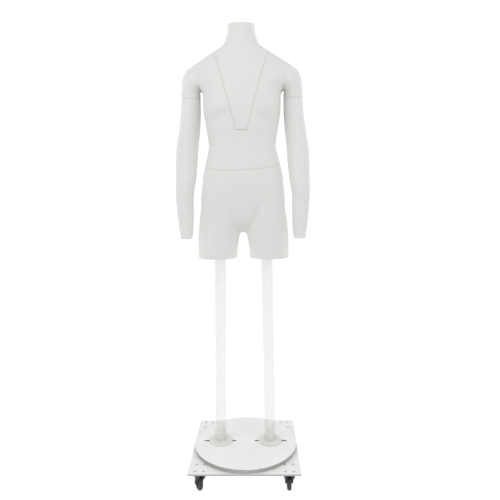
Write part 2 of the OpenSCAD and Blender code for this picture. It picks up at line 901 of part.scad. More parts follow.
// Wedge that takes the neck out of the chest
module neckline(side, low, seat) {
    a = v_h + low;
    b = neck_h + 40;
    ya = v_y + (low - seat) / v_rise;
    yb = v_y + (b - v_h - seat) / v_rise;
    xa = v_half + v_slope * low - side;
    xb = v_half + v_slope * (b - v_h) - side;
    f = -170;
    polyhedron([[-xa, f, a], [xa, f, a], [xa, ya, a], [-xa, ya, a],
        [-xb, f, b], [xb, f, b], [xb, yb, b], [-xb, yb, b]],
        [[0, 1, 2, 3], [4, 7, 6, 5], [0, 4, 5, 1], [1, 5, 6, 2], [2, 6, 7, 3], [3, 7, 4, 0]]);
}

module trunk_outside(low, high) {
    solid_loft([for (i = [0 : trunk_rows])
        let (h = mix(waist_h, neck_h, i / trunk_rows))
        if (h >= low && h <= high)
            trunk_ring(h, trunk_n)]);
}

module trunk_inside() {
    m = neck_n;
    low = bulkhead_t / 2;
    solid_loft(concat([trunk_ring(waist_h, m, ledge, -3), trunk_ring(waist_h, m, ledge, low),
        trunk_ring(waist_h, m, wall, low)],
        [for (i = [1 : 14]) trunk_ring(mix(waist_h + low, neck_h - 3 * cap_t, i / 14), m, wall)],
        [trunk_ring(neck_h, m, wall, -cap_t), trunk_ring(neck_h, m, ledge, -cap_t),
            trunk_ring(neck_h, m, ledge, 3)]));
}

module chest_shell() {
    color(shell_white)
    up()
        difference() {
            trunk_outside(waist_h, seat_top_h);
            neckline(0, 0, 0);
            difference() {
                trunk_inside();
                neckline(-4, -4, -7);
            }
            for (s = [-1, 1]) {
                armhole_bore(s, shoulder_pin_d + 10, 0, 8 * wall);
                armhole_bore(s, key_d + 2 * fit, key_up, 8 * wall);
            }
        }
}

module armhole_bore(s, d, dz, len) {
    translate([s * armhole_x, armhole_y, armhole_pin_h + dz])
        rotate([0, 90, 0])
            cylinder(d = d, h = len, center = true);
}

module shoulder_sockets() {
    color(steel)
    up()
        for (s = [-1, 1])
            difference() {
                translate([s * (armhole_x - socket_l / 2), armhole_y, armhole_pin_h])
                    rotate([0, 90, 0])
                        cylinder(d = shoulder_pin_d + 10, h = socket_l, center = true);
                armhole_bore(s, shoulder_pin_d + 2 * fit, 0, 3 * socket_l);
            }
}

module neck_insert() {
    color(shell_white)
    up()
        difference() {
            intersection() {
                trunk_outside(v_h - 14, neck_h);
                neckline(2 * seam, v_slit, rest);
            }
            intersection() {
                trunk_inside();
                neckline(2 * seam + 4, v_slit + 4, 7);
            }
        }
}

module neck_cap() {
    color(shell_white)
    up()
        solid_loft([for (z = [-cap_t, 0]) trunk_ring(neck_h, neck_n, ledge + 0.1, z)]);
}

// Arms, drawn on the +X side
module shoulder_cap(side) {
    n = arm_n;
    d = end_t;
    fall = turn_h - arm_h;
    color(shell_white)
    up()
        mirrored(side)
            sleeve(concat([shoulder_ring(0, n, 0, seam)], [for (i = [1 : 10]) shoulder_ring(9 * i, n)],
                [shoulder_ring(90, n, 0, fall - seam)]),
                [shoulder_ring(0, n, ledge, seam), shoulder_ring(0, n, ledge, hole_t),
                    shoulder_ring(0, n, wall, hole_t), shoulder_ring(35, n, wall),
                    shoulder_ring(65, n, wall), shoulder_ring(90, n, wall, fall - d),
                    shoulder_ring(90, n, ledge, fall - d), shoulder_ring(90, n, ledge, fall - seam)]);
}

module shoulder_plate(side) {
    color(board)
    up()
        mirrored(side) {
            solid_loft([for (x = [0, hole_t]) shoulder_ring(0, arm_n, ledge + 0.1, x)]);
            translate([armhole_x - socket_l + 2, armhole_y, armhole_pin_h])
                rotate([0, 90, 0])
                    cylinder(d = shoulder_pin_d, h = socket_l - 2 + hole_t / 2);
            translate([armhole_x - 2 * wall, armhole_y, armhole_pin_h + key_up])
                rotate([0, 90, 0])
                    cylinder(d = key_d, h = 2 * wall + hole_t / 2);
        }
}

// A plate at the top of a joint with its spigot, and the plate below with the socket
module spigot_plate(h, d, rings) {
    s = station(arm, h);
    solid_loft(rings);
    translate([s[0], s[3], h - arm_pin_l])
        cylinder(d = d, h = arm_pin_l + end_t / 2);
    translate([s[0], s[3] + d / 2 + 6, h - 10])
        cylinder(d = 5, h = 10 + end_t / 2);
}

module socket_plate(h, d) {
    s = station(arm, h);
    difference() {
        union() {
            solid_loft([for (z = [-end_t, 0]) arm_ring(h, arm_n, ledge + 0.1, z)]);
            translate([s[0], s[3], h - arm_pin_l - 4])
                cylinder(d = d + 10, h = arm_pin_l + 4 - end_t / 2);
        }
        translate([s[0], s[3], h - arm_pin_l - 1])
            cylinder(d = d + 2 * fit, h = arm_pin_l + 3);
        translate([s[0], s[3] + d / 2 + 6, h - 20])
            cylinder(d = 5 + 2 * fit, h = 30);
    }
}

module cap_plate(side) {
    color(board)
    up()
        mirrored(side)
            spigot_plate(arm_h, arm_pin_d,
                [for (z = [0, end_t]) arm_ring(arm_h, arm_n, ledge + 0.1, z)]);
}

module arm_section(h0, h1, nh, side) {
    n = arm_n;
    color(shell_white)
    up()
        mirrored(side)
            sleeve([for (i = [0 : nh]) arm_ring(mix(h0 + seam, h1 - seam, i / nh), n)],
                [arm_ring(h0, n, ledge, seam), arm_ring(h0, n, ledge, end_t), arm_ring(h0, n, wall, end_t),
                    arm_ring(mix(h0, h1, 0.35), n, wall), arm_ring(mix(h0, h1, 0.65), n, wall),
                    arm_ring(h1, n, wall, -end_t), arm_ring(h1, n, ledge, -end_t),
                    arm_ring(h1, n, ledge, -seam)]);
}

module arm_shell(side) {
    arm_section(fore_h, arm_h, 15, side);
}

module arm_plate(side) {
    color(board)
    up()
        mirrored(side)
            socket_plate(arm_h, arm_pin_d);
}

module arm_end(side) {
    color(board)
    up()
        mirrored(side)
            spigot_plate(fore_h, fore_pin_d,
                [for (z = [0, end_t]) arm_ring(fore_h, arm_n, ledge + 0.1, z)]);
}

module forearm_shell(side) {
    arm_section(wrist_h, fore_h, 7, side);
}

module forearm_plate(side) {
    color(board)
    up()
        mirrored(side)
            socket_plate(fore_h, fore_pin_d);
}

module wrist_plate(side) {
    color(shell_white)
    up()
        mirrored(side)
            solid_loft([for (z = [seam, end_t]) arm_ring(wrist_h, arm_n, ledge + 0.1, z)]);
}

base_plate();
caster_plates();
caster_kingpins();
caster_bolts();
pivot_pin();
bearing_washer_lower();
bearing_balls();
glide_pads();
fork(0);  // fork_fl
fork(1);  // fork_fr
fork(2);  // fork_bl
fork(3);  // fork_br
axle(0);  // axle_fl
axle(1);  // axle_fr
axle(2);  // axle_bl
axle(3);  // axle_br
wheel(0);  // wheel_fl
wheel(1);  // wheel_fr
wheel(2);  // wheel_bl
wheel(3);  // wheel_br
turntable_disc();
bearing_washer_upper();
leg_bolts();
leg_flanges();
leg_spigots();
leg_tubes();
thigh_sockets();
thigh_plates();
hip_shell();
hip_plate();
waist_pins();
hip_magnets();
waist_plate();
waist_magnets();
waist_shell();
waist_bulkhead();
chest_shell();
shoulder_sockets();
neck_insert();
neck_cap();
shoulder_cap(-1);  // shoulder_cap_l
shoulder_plate(-1);  // shoulder_plate_l
cap_plate(-1);  // cap_plate_l
arm_shell(-1);  // arm_shell_l
arm_plate(-1);  // arm_plate_l
arm_end(-1);  // arm_end_l
forearm_shell(-1);  // forearm_shell_l
forearm_plate(-1);  // forearm_plate_l
wrist_plate(-1);  // wrist_plate_l
shoulder_cap(1);  // shoulder_cap_r
shoulder_plate(1);  // shoulder_plate_r
cap_plate(1);  // cap_plate_r
arm_shell(1);  // arm_shell_r
arm_plate(1);  // arm_plate_r
arm_end(1);  // arm_end_r
forearm_shell(1);  // forearm_shell_r
forearm_plate(1);  // forearm_plate_r
wrist_plate(1);  // wrist_plate_r
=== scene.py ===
"""Looks of a sectional display torso on clear legs, a turntable disc and a base on casters."""

import math

import bmesh
import bpy
import numpy as np
from mathutils import Matrix, Vector


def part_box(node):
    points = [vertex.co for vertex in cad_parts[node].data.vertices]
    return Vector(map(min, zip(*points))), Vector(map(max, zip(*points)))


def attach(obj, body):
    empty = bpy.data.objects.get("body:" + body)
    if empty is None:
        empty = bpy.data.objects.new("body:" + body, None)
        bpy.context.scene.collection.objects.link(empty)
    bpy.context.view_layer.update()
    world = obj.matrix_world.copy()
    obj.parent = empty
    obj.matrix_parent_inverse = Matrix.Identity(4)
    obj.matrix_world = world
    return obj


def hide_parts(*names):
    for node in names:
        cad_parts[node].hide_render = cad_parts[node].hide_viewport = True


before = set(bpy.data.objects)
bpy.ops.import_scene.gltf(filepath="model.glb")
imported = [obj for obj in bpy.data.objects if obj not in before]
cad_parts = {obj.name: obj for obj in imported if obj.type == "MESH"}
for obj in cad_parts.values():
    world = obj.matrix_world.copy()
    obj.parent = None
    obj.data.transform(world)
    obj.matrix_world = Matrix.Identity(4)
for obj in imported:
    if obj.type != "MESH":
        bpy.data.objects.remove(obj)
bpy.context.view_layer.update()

MM = 0.001
DISC_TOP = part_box("turntable_disc")[1].z

# Sizes of the body are in millimetres, and its heights are above the disc

# Section heights
THIGH_END, THIGH_BLEND, CROTCH, SPLIT = 724, 796, 818, 826
SEAM, WAIST, NECK = 1068, 1109, 1556
WRIST, ARM_LOW, ARM_TOP, TURN_H = 799, 956, 1298, 1320

# Slant of the seam under the waist and of the neck's top
SEAM_SLOPE, SEAM_TURN, SEAM_FADE = 0.27, 0.12, 930
NECK_TIP, NECK_TIP_FROM, NECK_Y = 0.2, 1490, -12

# Armhole plane and its height range, with the socket and the keyhole in it
ARMHOLE_X, ARMHOLE_LOW, ARMHOLE_HIGH = 150, 1332, 1435.2
SOCKET_Y, SOCKET_H, SOCKET_D, SOCKET_DEPTH = 9, 1372, 30, 24
KEY_D, KEY_UP, KEY_DEPTH = 6.12, 30, 12

# Neckline of the removable neck: a V with a slit at its foot, cut back to a leaning seat
V_H, V_HALF, V_SLOPE, V_Y, V_RISE, V_SLIT = 1177, 18, 0.2747, -80, 1.69, 1.0

# Gap at that seat, how near a point counts as on it, and how far below its corners the walls end
SEAT_GAP, SEAT_NEAR, SEAT_DROP = 0.05, 0.2, 2

# Wall of a section, the rim round its end plates, and the thickness of plates and caps
WALL, RIM, PLATE_T, CAP_T = 5, 2.45, 5, 4

# At each section line: half of its gap, its rounded lip and how dark the painted shade on its lip is
GAP = {"neck": 0.15, "armhole": 0.06, "seam": 0.12, "arm": 0.06, "end": 0.0}
LIP = {"neck": 0.7, "armhole": 0.35, "waist": 0.3, "seam": 0.6, "arm": 0.35, "end": 1.2}
SECTION_SHADE = {"neck": 1.0, "armhole": 0.3, "waist": 0.25, "seam": 0.6, "arm": 0.35, "end": 0.1}

# Clear leg tubes: lean in degrees, sizes and the polished rim
LEG_LEAN, TUBE_OD, TUBE_WALL, TUBE_RIM = 0.75, 44, 4, 0.6

# Where the thighs leave the trunk: how far up and how firmly they merge, how the top of the gap
# is levelled, and the fold that is smoothed
MERGE_TOP, MERGE, LEVEL_REACH, LEVEL_POWER = WAIST - 1, 14, 18, 0.4
FOLD_X, FOLD_LOW, FOLD_HIGH, FOLD_ROUNDS, FOLD_PULL = 45, 785, 850, 7, 0.5

# Least turn between two points of a thigh's ring, as a share of an even one
LEAST_TURN = 0.25

# A shoulder's turn from armhole to arm in degrees, its first row outside, its first and last rows
# inside, and its fullness in front and behind
FULL_TURN, TURN_FIRST, TURN_INSIDE, SHOULDER_SWELL = 90, 1, (85, 12), 4

# Rows on the straight stretch below a shoulder's turn, as shares of it
STRAIGHT_ROWS = 0.3, 0.6

# Relief: its height, then its middle and its reach to each side, across the body and up it
CHEST_MUSCLE = 18, (104, 36, 30), (1250, 13, 60)
BREASTBONE_NOTCH = -3, (0, 11, 11), (1373, 5, 9)
BELLY_LINE = -2, (0, 11, 11), (1190, 60, 60)
BELLY_MUSCLE = 3, (38, 22, 26), (1200, 55, 45)
GROIN_CREASE = -7, (26, 13, 9), (890, 32, 40)
SHOULDER_BLADE = 5, (70, 34, 40), (1325, 50, 40)
SPINE = -7, (0, 15, 15), (1190, 110, 110)

# Upward curve of the chest muscles' lower edge, and spread of the groin creases with height
CHEST_CURVE, CHEST_LOWEST_X = 0.004, 92
GROIN_SPREAD, GROIN_FOOT = 0.54, 835

# Points round a section or a bore, and steps round a lip
TRUNK_N, ARM_N, TUBE_N, BRIDGE_N, SOCKET_N, KEY_N, LIP_STEPS = 200, 112, 128, 30, 48, 20, 4

# Rows along a section; those of the chest lie closer from just below the armholes up
HIP_ROWS, THIGH_ROWS, WAIST_ROWS, ARM_ROWS, FOREARM_ROWS, TUBE_ROWS = 90, 26, 14, 90, 50, 12
SHOULDER_ROWS, SHOULDER_INSIDE_ROWS = 60, 14
CHEST_ROWS, CHEST_UPPER_ROWS, CLOSER_FROM, CLOSER_STEP = 60, 110, 1300, 3

# How far rows keep from the section lines outside and from the ends of an arm inside, and how many
# rows outside an arm go with one inside
OFF_SEAM, OFF_WAIST, OFF_NECK, OFF_ENDS, INSIDE_SHARE = 2, 1, 2, 4 * PLATE_T, 3

# Angle in degrees from which a fold stays crisp, and the same on skins that planes have cut
SHARP, SHARP_CUT = 40, 28

# Distance within which a point lies on a plane, the same while a plane cuts, and depth of the bands
# that hold the edges at the waist and at the neck's top
TOUCH, CUT_TOUCH, WAIST_BAND, NECK_BAND = 0.01, 0.0001, 10, 30

# Trunk: height, half width, depth in front, depth behind, middle in Y, squareness
TRUNK = np.array([
    [816, 26, 22, 30, 0, 2.0],
    [840, 54, 52, 60, 0, 2.3],
    [862, 80, 70, 80, 0, 2.75],
    [902, 112, 84, 95, 0, 2.9],
    [960, 138, 94, 103, 0, 2.6],
    [1018, 145, 98, 99, 0, 2.3],
    [1076, 135, 97, 88, 0, 2.3],
    [1109, 126, 95, 82, 0, 2.3],
    [1134, 122.5, 95, 81, 0, 2.3],
    [1191, 129.5, 102, 88, 0, 2.35],
    [1248, 138, 107, 97, 0, 2.4],
    [1284, 140, 108, 103, 1, 2.4],
    [1316, 141, 107, 105, 3, 2.4],
    [1332, 150, 106, 105, 4.5, 2.4],
    [1353, 172, 103.5, 104, 6, 2.4],
    [1378, 181, 99, 101, 8, 2.3],
    [1408, 171, 92, 95, 11, 2.2],
    [1436, 149, 84, 86, 13, 2.1],
    [1458, 114, 78, 76, 13, 2.0],
    [1485, 70, 70, 66, 8, 2.0],
    [1510, 56, 59.5, 57, -2, 2.0],
    [1532, 50, 54, 54, -8, 2.0],
    [1556, 48.5, 51, 53, -12, 2.0],
])

# Thigh: height, middle in X, half width, depth in front, depth behind, middle in Y
THIGH = np.array([
    [724, 96, 72.5, 78, 80, 6],
    [752, 95.5, 73, 80.5, 86, 6],
    [792, 92.5, 75.5, 83, 95, 6],
    [822, 89, 77, 84, 102, 5],
    [862, 84, 78.5, 84, 107, 4],
    [902, 78, 78.5, 82, 107, 2],
    [960, 69, 82, 80, 100, 1],
    [1018, 58, 72, 75, 86, 0],
    [1076, 45, 58, 60, 66, 0],
    [1110, 40, 50, 50, 55, 0],
])

# Arm: height, middle in X, half width, half depth, middle in Y
ARM = np.array([
    [799, 205, 21, 23.5, -46],
    [841, 206.5, 26, 27, -40],
    [901, 209.5, 30.5, 32, -31],
    [958, 212, 33, 36, -22],
    [1017, 207.5, 37.5, 40, -12],
    [1074, 205, 40, 42, -3],
    [1132, 201.5, 40.5, 43, 4],
    [1187, 194, 39, 45, 7],
    [1244, 188.5, 37, 46, 8],
    [1298, 186, 35, 45, 9],
])

# Share of the way from the armhole's outline to the arm's, by angle of the shoulder's turn
TURN = np.array([[0, 0], [16, 0.29], [34, 0.465], [53, 0.745], [73, 0.98], [84, 1], [90, 1]])

# Camera at the photograph's place: metres, degrees, and millimetres for lens and sensor
CAMERA_AT = (0.0529, -1.7198, 1.0420)
CAMERA_PITCH, CAMERA_YAW, CAMERA_ROLL = -6.10, -0.956, 0.545
CAMERA_LENS, CAMERA_SENSOR = 33.24, 36

# Lights: name, turn from the front towards +X and height in degrees, strength
LIGHTS = [
    ("key", -42, 17, 0.94),
    ("fill", 42, 17, 0.77),
    ("rear_left", -135, 20, 0.66),
    ("rear_right", 135, 20, 0.66),
]

# Their distance from a point on the axis, the height of that point and their radius, in metres
LIGHT_AWAY, LIGHT_AIM, LIGHT_SIZE = 2.4, 1.45, 1.1

# Strength of the room's light from below and from above, the slope where one turns into the other,
# and the strength of the backdrop as the camera sees it
ROOM, ROOM_TURN, BACKDROP = (0.49, 0.58), 0.4, 1.1

# Floor: half width, near and far edge in metres, and its glow
FLOOR_HALF, FLOOR_NEAR, FLOOR_FAR, FLOOR_GLOW = 40, -0.7, 60, 0.86


# Smooth curves through the tables

def curve(table, t, column):
    """Value of one column at t, on a smooth curve through the stations."""
    at, value = table[:, 0], table[:, column]
    last = len(at) - 1
    before = np.maximum(np.arange(last + 1) - 1, 0)
    after = np.minimum(np.arange(last + 1) + 1, last)
    slope = (value[after] - value[before]) / (at[after] - at[before])
    t = np.clip(t, at[0], at[-1])
    i = np.clip(np.searchsorted(at, t, side="right") - 1, 0, last - 1)
    step = at[i + 1] - at[i]
    u = (t - at[i]) / step
    v = 1 - u
    return (value[i] * (1 + 2 * u) * v * v + slope[i] * step * u * v * v
            + value[i + 1] * u * u * (3 - 2 * u) - slope[i + 1] * step * u * u * v)


def station(table, t):
    """All columns of a table at t."""
    return [curve(table, t, k) for k in range(1, table.shape[1])]


def mix(a, b, u):
    return a + (b - a) * u


def ease(u):
    """Runs from 0 to 1 with a soft start and end."""
    u = np.clip(u, 0, 1)
    return u * u * (3 - 2 * u)


def hump(v, middle, below, above):
    """A bell of height 1 that reaches differently far below and above its middle."""
    return np.exp(-((v - middle) / np.where(v < middle, below, above)) ** 2 / 2)


def turns(count):
    """Angles of evenly spaced points round a ring."""
    return np.arange(count) * 2 * math.pi / count


# Surface of the body, in millimetres

def relief(shape, x, h, outward=0.0, upward=0.0):
    """Height of one piece of relief, alike on both sides, with its middle moved."""
    height, (middle, inner, outer), (level, below, above) = shape
    across = hump(abs(x), middle + outward, inner, outer)
    return height * across * hump(h, level + upward, below, above)


def front_relief(x, h):
    curve_up = CHEST_CURVE * (abs(x) - CHEST_LOWEST_X) ** 2
    spread = GROIN_SPREAD * (h - GROIN_FOOT)
    chest = relief(CHEST_MUSCLE, x, h, upward=curve_up) + relief(BREASTBONE_NOTCH, x, h)
    belly = relief(BELLY_LINE, x, h) + relief(BELLY_MUSCLE, x, h)
    return chest + belly + relief(GROIN_CREASE, x, h, outward=spread)


def back_relief(x, h):
    return relief(SHOULDER_BLADE, x, h) + relief(SPINE, x, h)


def oval_reach(half, depth, power, c, s):
    """Reach from the middle of an oval to its edge, along a direction; more power is squarer."""
    return (np.abs(c / half) ** power + np.abs(s / depth) ** power) ** (-1 / power)


def thigh_reach(thigh, c, s, inset):
    """Reach from the middle of the body to the far side of a thigh, along a direction."""
    middle, half, front, back, y = thigh
    a = half - inset
    b = np.where(s < 0, front, back) - inset
    p = (c / a) ** 2 + (s / b) ** 2
    q = c * middle / (a * a) + s * y / (b * b)
    k = (middle / a) ** 2 + (y / b) ** 2 - 1
    d = q * q - p * k
    return np.where(d > 0, np.maximum(0, (q + np.sqrt(np.maximum(d, 0))) / p), 0)


def shear(h):
    """Slant of a trunk ring: full at the seam under the waist, gone above and below."""
    rising = ease((h - SEAM_FADE) / (SEAM - SEAM_FADE))
    falling = ease((WAIST - h) / (WAIST - SEAM))
    return SEAM_SLOPE * (falling if h > SEAM else rising)


def trunk_ring(h, angles, inset=0.0, lift=0.0):
    """One ring of the trunk at height h, drawn in by inset and moved up by lift."""
    half, front, back, middle, power = station(TRUNK, h)
    c, s = np.cos(angles), np.sin(angles)
    reach = oval_reach(half - inset, np.where(s < 0, front, back) - inset, power, c, s)
    if h < MERGE_TOP:
        thigh = station(THIGH, h)
        parts = (reach, thigh_reach(thigh, c, s, inset), thigh_reach(thigh, -c, s, inset))
        reach = sum(part ** MERGE for part in parts) ** (1 / MERGE)
    x = reach * c
    y = reach * s + middle + s * np.where(s < 0, front_relief(x, h), back_relief(x, h))
    tip = NECK_TIP * ease((h - NECK_TIP_FROM) / (NECK - NECK_TIP_FROM))
    z = h + lift + shear(h) * (y + SEAM_TURN * x) + tip * (y - NECK_Y)
    return np.stack([x, y, z], 1)


def arm_ring(h, angles, inset=0.0, lift=0.0):
    """One level ring of an arm at height h, drawn in by inset and moved up by lift."""
    middle, half, depth, middle_y = station(ARM, h)
    x = middle + (half - inset) * np.cos(angles)
    y = middle_y + (depth - inset) * np.sin(angles)
    return np.stack([x, y, np.full(len(angles), h + lift)], 1)


def armhole_y(h, front):
    """Edge of the trunk where it passes the armhole plane."""
    half, fore, back, middle, power = station(TRUNK, h)
    share = np.maximum(1 - np.minimum(ARMHOLE_X / half, 1) ** power, 0) ** (1 / power)
    return middle + np.where(front, -fore, back) * share


def shoulder_ring(turn, angles, inset=0.0, shift=0.0):
    """One ring of the shoulder, which turns about the armpit from the armhole to the arm."""
    u = curve(TURN, turn, 1)
    middle, half, depth, y_arm = station(ARM, ARM_TOP)
    c, s = np.cos(angles), np.sin(angles)
    hole_h = (ARMHOLE_HIGH + ARMHOLE_LOW) / 2
    hole_half = (ARMHOLE_HIGH - ARMHOLE_LOW) / 2
    hole_r = hole_h + (hole_half - inset) * s - TURN_H
    hole_y = armhole_y(hole_h + hole_half * s, c < 0) - inset * c
    arm_r = middle - ARMHOLE_X + (half - inset) * s
    a = math.radians(turn)
    r = mix(hole_r, arm_r, u)
    y = mix(hole_y, y_arm + (depth - inset) * c, u)
    y = y + SHOULDER_SWELL * math.sin(2 * a) * c
    x = ARMHOLE_X + r * math.sin(a) + shift * math.cos(a)
    return np.stack([x, y, TURN_H + r * math.cos(a) - shift * math.sin(a)], 1)


# Meshes

def new_object(name, mesh):
    piece = bpy.data.objects.new(name, mesh)
    bpy.context.scene.collection.objects.link(piece)
    return piece


def place(points):
    """Millimetres above the disc to metres in the frame."""
    return np.asarray(points) * MM + np.array([0, 0, DISC_TOP])


def in_millimetres(points):
    """Metres in the frame to millimetres above the disc."""
    return (np.array(points) - np.array([0, 0, DISC_TOP])) / MM


def finish_mesh(bm, name, sharp=SHARP):
    """Turns a bmesh in metres into a smooth piece with crisp folds."""
    bmesh.ops.recalc_face_normals(bm, faces=bm.faces)
    if bm.calc_volume(signed=True) < 0:
        bmesh.ops.reverse_faces(bm, faces=bm.faces)
    mesh = bpy.data.meshes.new(name)
    bm.to_mesh(mesh)
    bm.free()
    mesh.polygons.foreach_set("use_smooth", [True] * len(mesh.polygons))
    mesh.set_sharp_from_angle(angle=math.radians(sharp))
    return new_object(name, mesh)


def mesh_from(points, faces, edge):
    """A bmesh from points in millimetres; edge holds the painted shade of each point, 0 off the
    lips.
    """
    bm = bmesh.new()
    layer = bm.verts.layers.float.new("edge")
    for k, co in enumerate(place(points)):
        vert = bm.verts.new(co)
        vert[layer] = float(edge[k])
    bm.verts.ensure_lookup_table()
    for face in faces:
        bm.faces.new([bm.verts[i] for i in face])
    return bm


def band(low, high):
    """Corners of the quads between two rings of as many points."""
    n = len(low)
    return [(low[i], low[(i + 1) % n], high[(i + 1) % n], high[i]) for i in range(n)]


def grid_faces(rows, n, closed=False):
    """Quads between rings of n points; a closed grid also joins the last ring to the first."""
    rings = [range(k * n, (k + 1) * n) for k in range(rows)]
    above = rings[1:] + (rings[:1] if closed else [])
    return [face for pair in zip(rings, above) for face in band(*pair)]


def lip_steps(radius):
    """Distance from the end and inset along a quarter round, from the outside to the rim."""
    return [(radius * (1 - math.sin(a)), radius * (1 - math.cos(a)))
            for a in np.linspace(0, math.pi / 2, LIP_STEPS + 1)]


def sleeve(name, rings, edge, side=1):
    """A closed shell whose rings run along the outside, over a lip, back inside and over a lip."""
    n = len(rings[0])
    points = np.concatenate(rings)
    points[:, 0] *= side
    return finish_mesh(mesh_from(points, grid_faces(len(rings), n, True), np.repeat(edge, n)), name)


def section_profile(low, high, rows, at_low, at_high):
    """Height, inset, lift and painted shade of each ring of an open section with ledges for end
    plates.
    """
    gap_low, gap_high = GAP[at_low], GAP[at_high]
    lip_low, lip_high = LIP[at_low], LIP[at_high]
    mark_low, mark_high = SECTION_SHADE[at_low], SECTION_SHADE[at_high]
    heights = np.linspace(low + gap_low + lip_low, high - gap_high - lip_high, rows)
    outside = [(h, 0, 0, 0) for h in heights]
    over_top = [(high, inset, -gap_high - away, mark_high) for away, inset in lip_steps(lip_high)]
    over_low = [(low, inset, gap_low + away, mark_low) for away, inset in lip_steps(lip_low)]
    inside = [(high, RIM, -gap_high, 0), (high, RIM, -PLATE_T, 0), (high, WALL, -PLATE_T, 0)]
    heights = np.linspace(high - OFF_ENDS, low + OFF_ENDS, rows // INSIDE_SHARE)
    inside += [(h, WALL, 0, 0) for h in heights]
    inside += [(low, WALL, PLATE_T, 0), (low, RIM, PLATE_T, 0), (low, RIM, gap_low, 0)]
    return outside + over_top[1:] + inside + over_low[:0:-1]


def arm_section(name, low, high, rows, side, at_low):
    """An arm or a forearm between two heights."""
    angles = turns(ARM_N)
    profile = section_profile(low, high, rows, at_low, "arm")
    rings = [arm_ring(h, angles, inset, lift) for h, inset, lift, _ in profile]
    return sleeve(name, rings, [mark for *_, mark in profile], side)


def shoulder_cap(name, side):
    """A hollow shoulder from the armhole round to the top of the arm, with ledges for its plates."""
    angles = turns(ARM_N)
    end, fall = FULL_TURN, TURN_H - ARM_TOP
    hole, joint, ledge = GAP["armhole"], fall - GAP["arm"], fall - PLATE_T
    first_lip, last_lip = lip_steps(LIP["armhole"])[::-1], lip_steps(LIP["arm"])
    profile = [(0, inset, hole + away, SECTION_SHADE["armhole"]) for away, inset in first_lip]
    profile += [(a, 0, 0, 0) for a in np.linspace(TURN_FIRST, end, SHOULDER_ROWS)]
    profile += [(end, 0, u * (joint - LIP["arm"]), 0) for u in STRAIGHT_ROWS]
    profile += [(end, inset, joint - away, SECTION_SHADE["arm"]) for away, inset in last_lip]
    profile += [(end, RIM, joint, 0), (end, RIM, ledge, 0), (end, WALL, ledge, 0)]
    profile += [(a, WALL, 0, 0) for a in np.linspace(*TURN_INSIDE, SHOULDER_INSIDE_ROWS)]
    profile += [(0, WALL, PLATE_T, 0), (0, RIM, PLATE_T, 0), (0, RIM, hole, 0)]
    rings = [shoulder_ring(turn, angles, inset, shift) for turn, inset, shift, _ in profile]
    return sleeve(name, rings, [mark for *_, mark in profile], side)


def waist_shell(name):
    """The band between the slanted seam and the waist line."""
    angles = turns(TRUNK_N)
    gap = GAP["seam"]
    first_lip, last_lip = lip_steps(LIP["seam"])[::-1], lip_steps(LIP["waist"])
    profile = [(SEAM, inset, gap + away, SECTION_SHADE["seam"]) for away, inset in first_lip]
    profile += [(h, 0, 0, 0) for h in np.linspace(SEAM + OFF_SEAM, WAIST - OFF_WAIST, WAIST_ROWS)]
    profile += [(WAIST, inset, -away, SECTION_SHADE["waist"]) for away, inset in last_lip]
    profile += [(WAIST, RIM, 0, 0), (WAIST, RIM, -CAP_T, 0), (WAIST, WALL, -CAP_T, 0)]
    profile += [(SEAM, WALL, PLATE_T, 0), (SEAM, RIM, PLATE_T, 0), (SEAM, RIM, gap, 0)]
    rings = [trunk_ring(h, angles, inset, lift) for h, inset, lift, _ in profile]
    return sleeve(name, rings, [mark for *_, mark in profile])


# Hips and thighs

def leg_loop(ring, bridge, side):
    """The half of the split ring on one side, closed along the bridge at the crotch."""
    m = TRUNK_N // 4
    start = 3 * m if side > 0 else m
    half = [ring[(start + i) % TRUNK_N] for i in range(2 * m + 1)]
    return half + list(bridge if side > 0 else bridge[::-1])


def crotch_bridge(ring):
    """Points across the crotch, from the back of the split ring to its front."""
    m = TRUNK_N // 4
    back, front = ring[m], ring[3 * m]
    t = np.arange(1, BRIDGE_N) / BRIDGE_N * math.pi
    y = mix(back[1], front[1], (1 - np.cos(t)) / 2)
    return np.stack([0 * t, y, mix(SPLIT, CROTCH, np.sin(t))], 1)


def hip_shell(name):
    """Hips and thighs in one skin: rings down to the split, and from there down each thigh."""
    angles = turns(TRUNK_N)
    lip, gap = LIP["seam"], GAP["seam"]
    upper = [trunk_ring(h, angles) for h in np.linspace(SPLIT, SEAM - gap - lip, HIP_ROWS)]
    upper += [trunk_ring(SEAM, angles, inset, -gap - away) for away, inset in lip_steps(lip)[1:]]
    bridge = crotch_bridge(upper[0])
    points = [np.concatenate(upper), bridge]
    # The lip at the seam and the lips at the thigh ends carry painted shade
    marks = [0] * (HIP_ROWS * TRUNK_N) + [SECTION_SHADE["seam"]] * (LIP_STEPS * TRUNK_N) + [0] * len(bridge)
    faces = grid_faces(len(upper), TRUNK_N)
    bridge_at = len(upper) * TRUNK_N
    used = bridge_at + len(bridge)
    for side in (1, -1):
        loop = np.array(leg_loop(upper[0], bridge, side))
        above = leg_loop(range(TRUNK_N), range(bridge_at, bridge_at + len(bridge)), side)
        rings = thigh_rings(loop, side)
        points += rings
        n = len(loop)
        marks += [0] * (n * (len(rings) - LIP_STEPS)) + [SECTION_SHADE["end"]] * (n * LIP_STEPS)
        for _ in rings:
            below = range(used, used + n)
            faces += band(below, above)
            above = below
            used += n
    bm = mesh_from(np.concatenate(points), faces, marks)
    bmesh.ops.recalc_face_normals(bm, faces=bm.faces)
    smooth_fold(bm)
    thicken(bm, RIM)
    return finish_mesh(bm, name)


def smooth_fold(bm):
    """Rounds the fold between the thighs."""
    at = in_millimetres([v.co for v in bm.verts])
    near = (np.abs(at[:, 0]) < FOLD_X) & (at[:, 2] > FOLD_LOW) & (at[:, 2] < FOLD_HIGH)
    fold = [v for v, inside in zip(bm.verts, near) if inside]
    axes = {"use_axis_x": True, "use_axis_y": True, "use_axis_z": True}
    for _ in range(FOLD_ROUNDS):
        bmesh.ops.smooth_vert(bm, verts=fold, factor=FOLD_PULL, **axes)


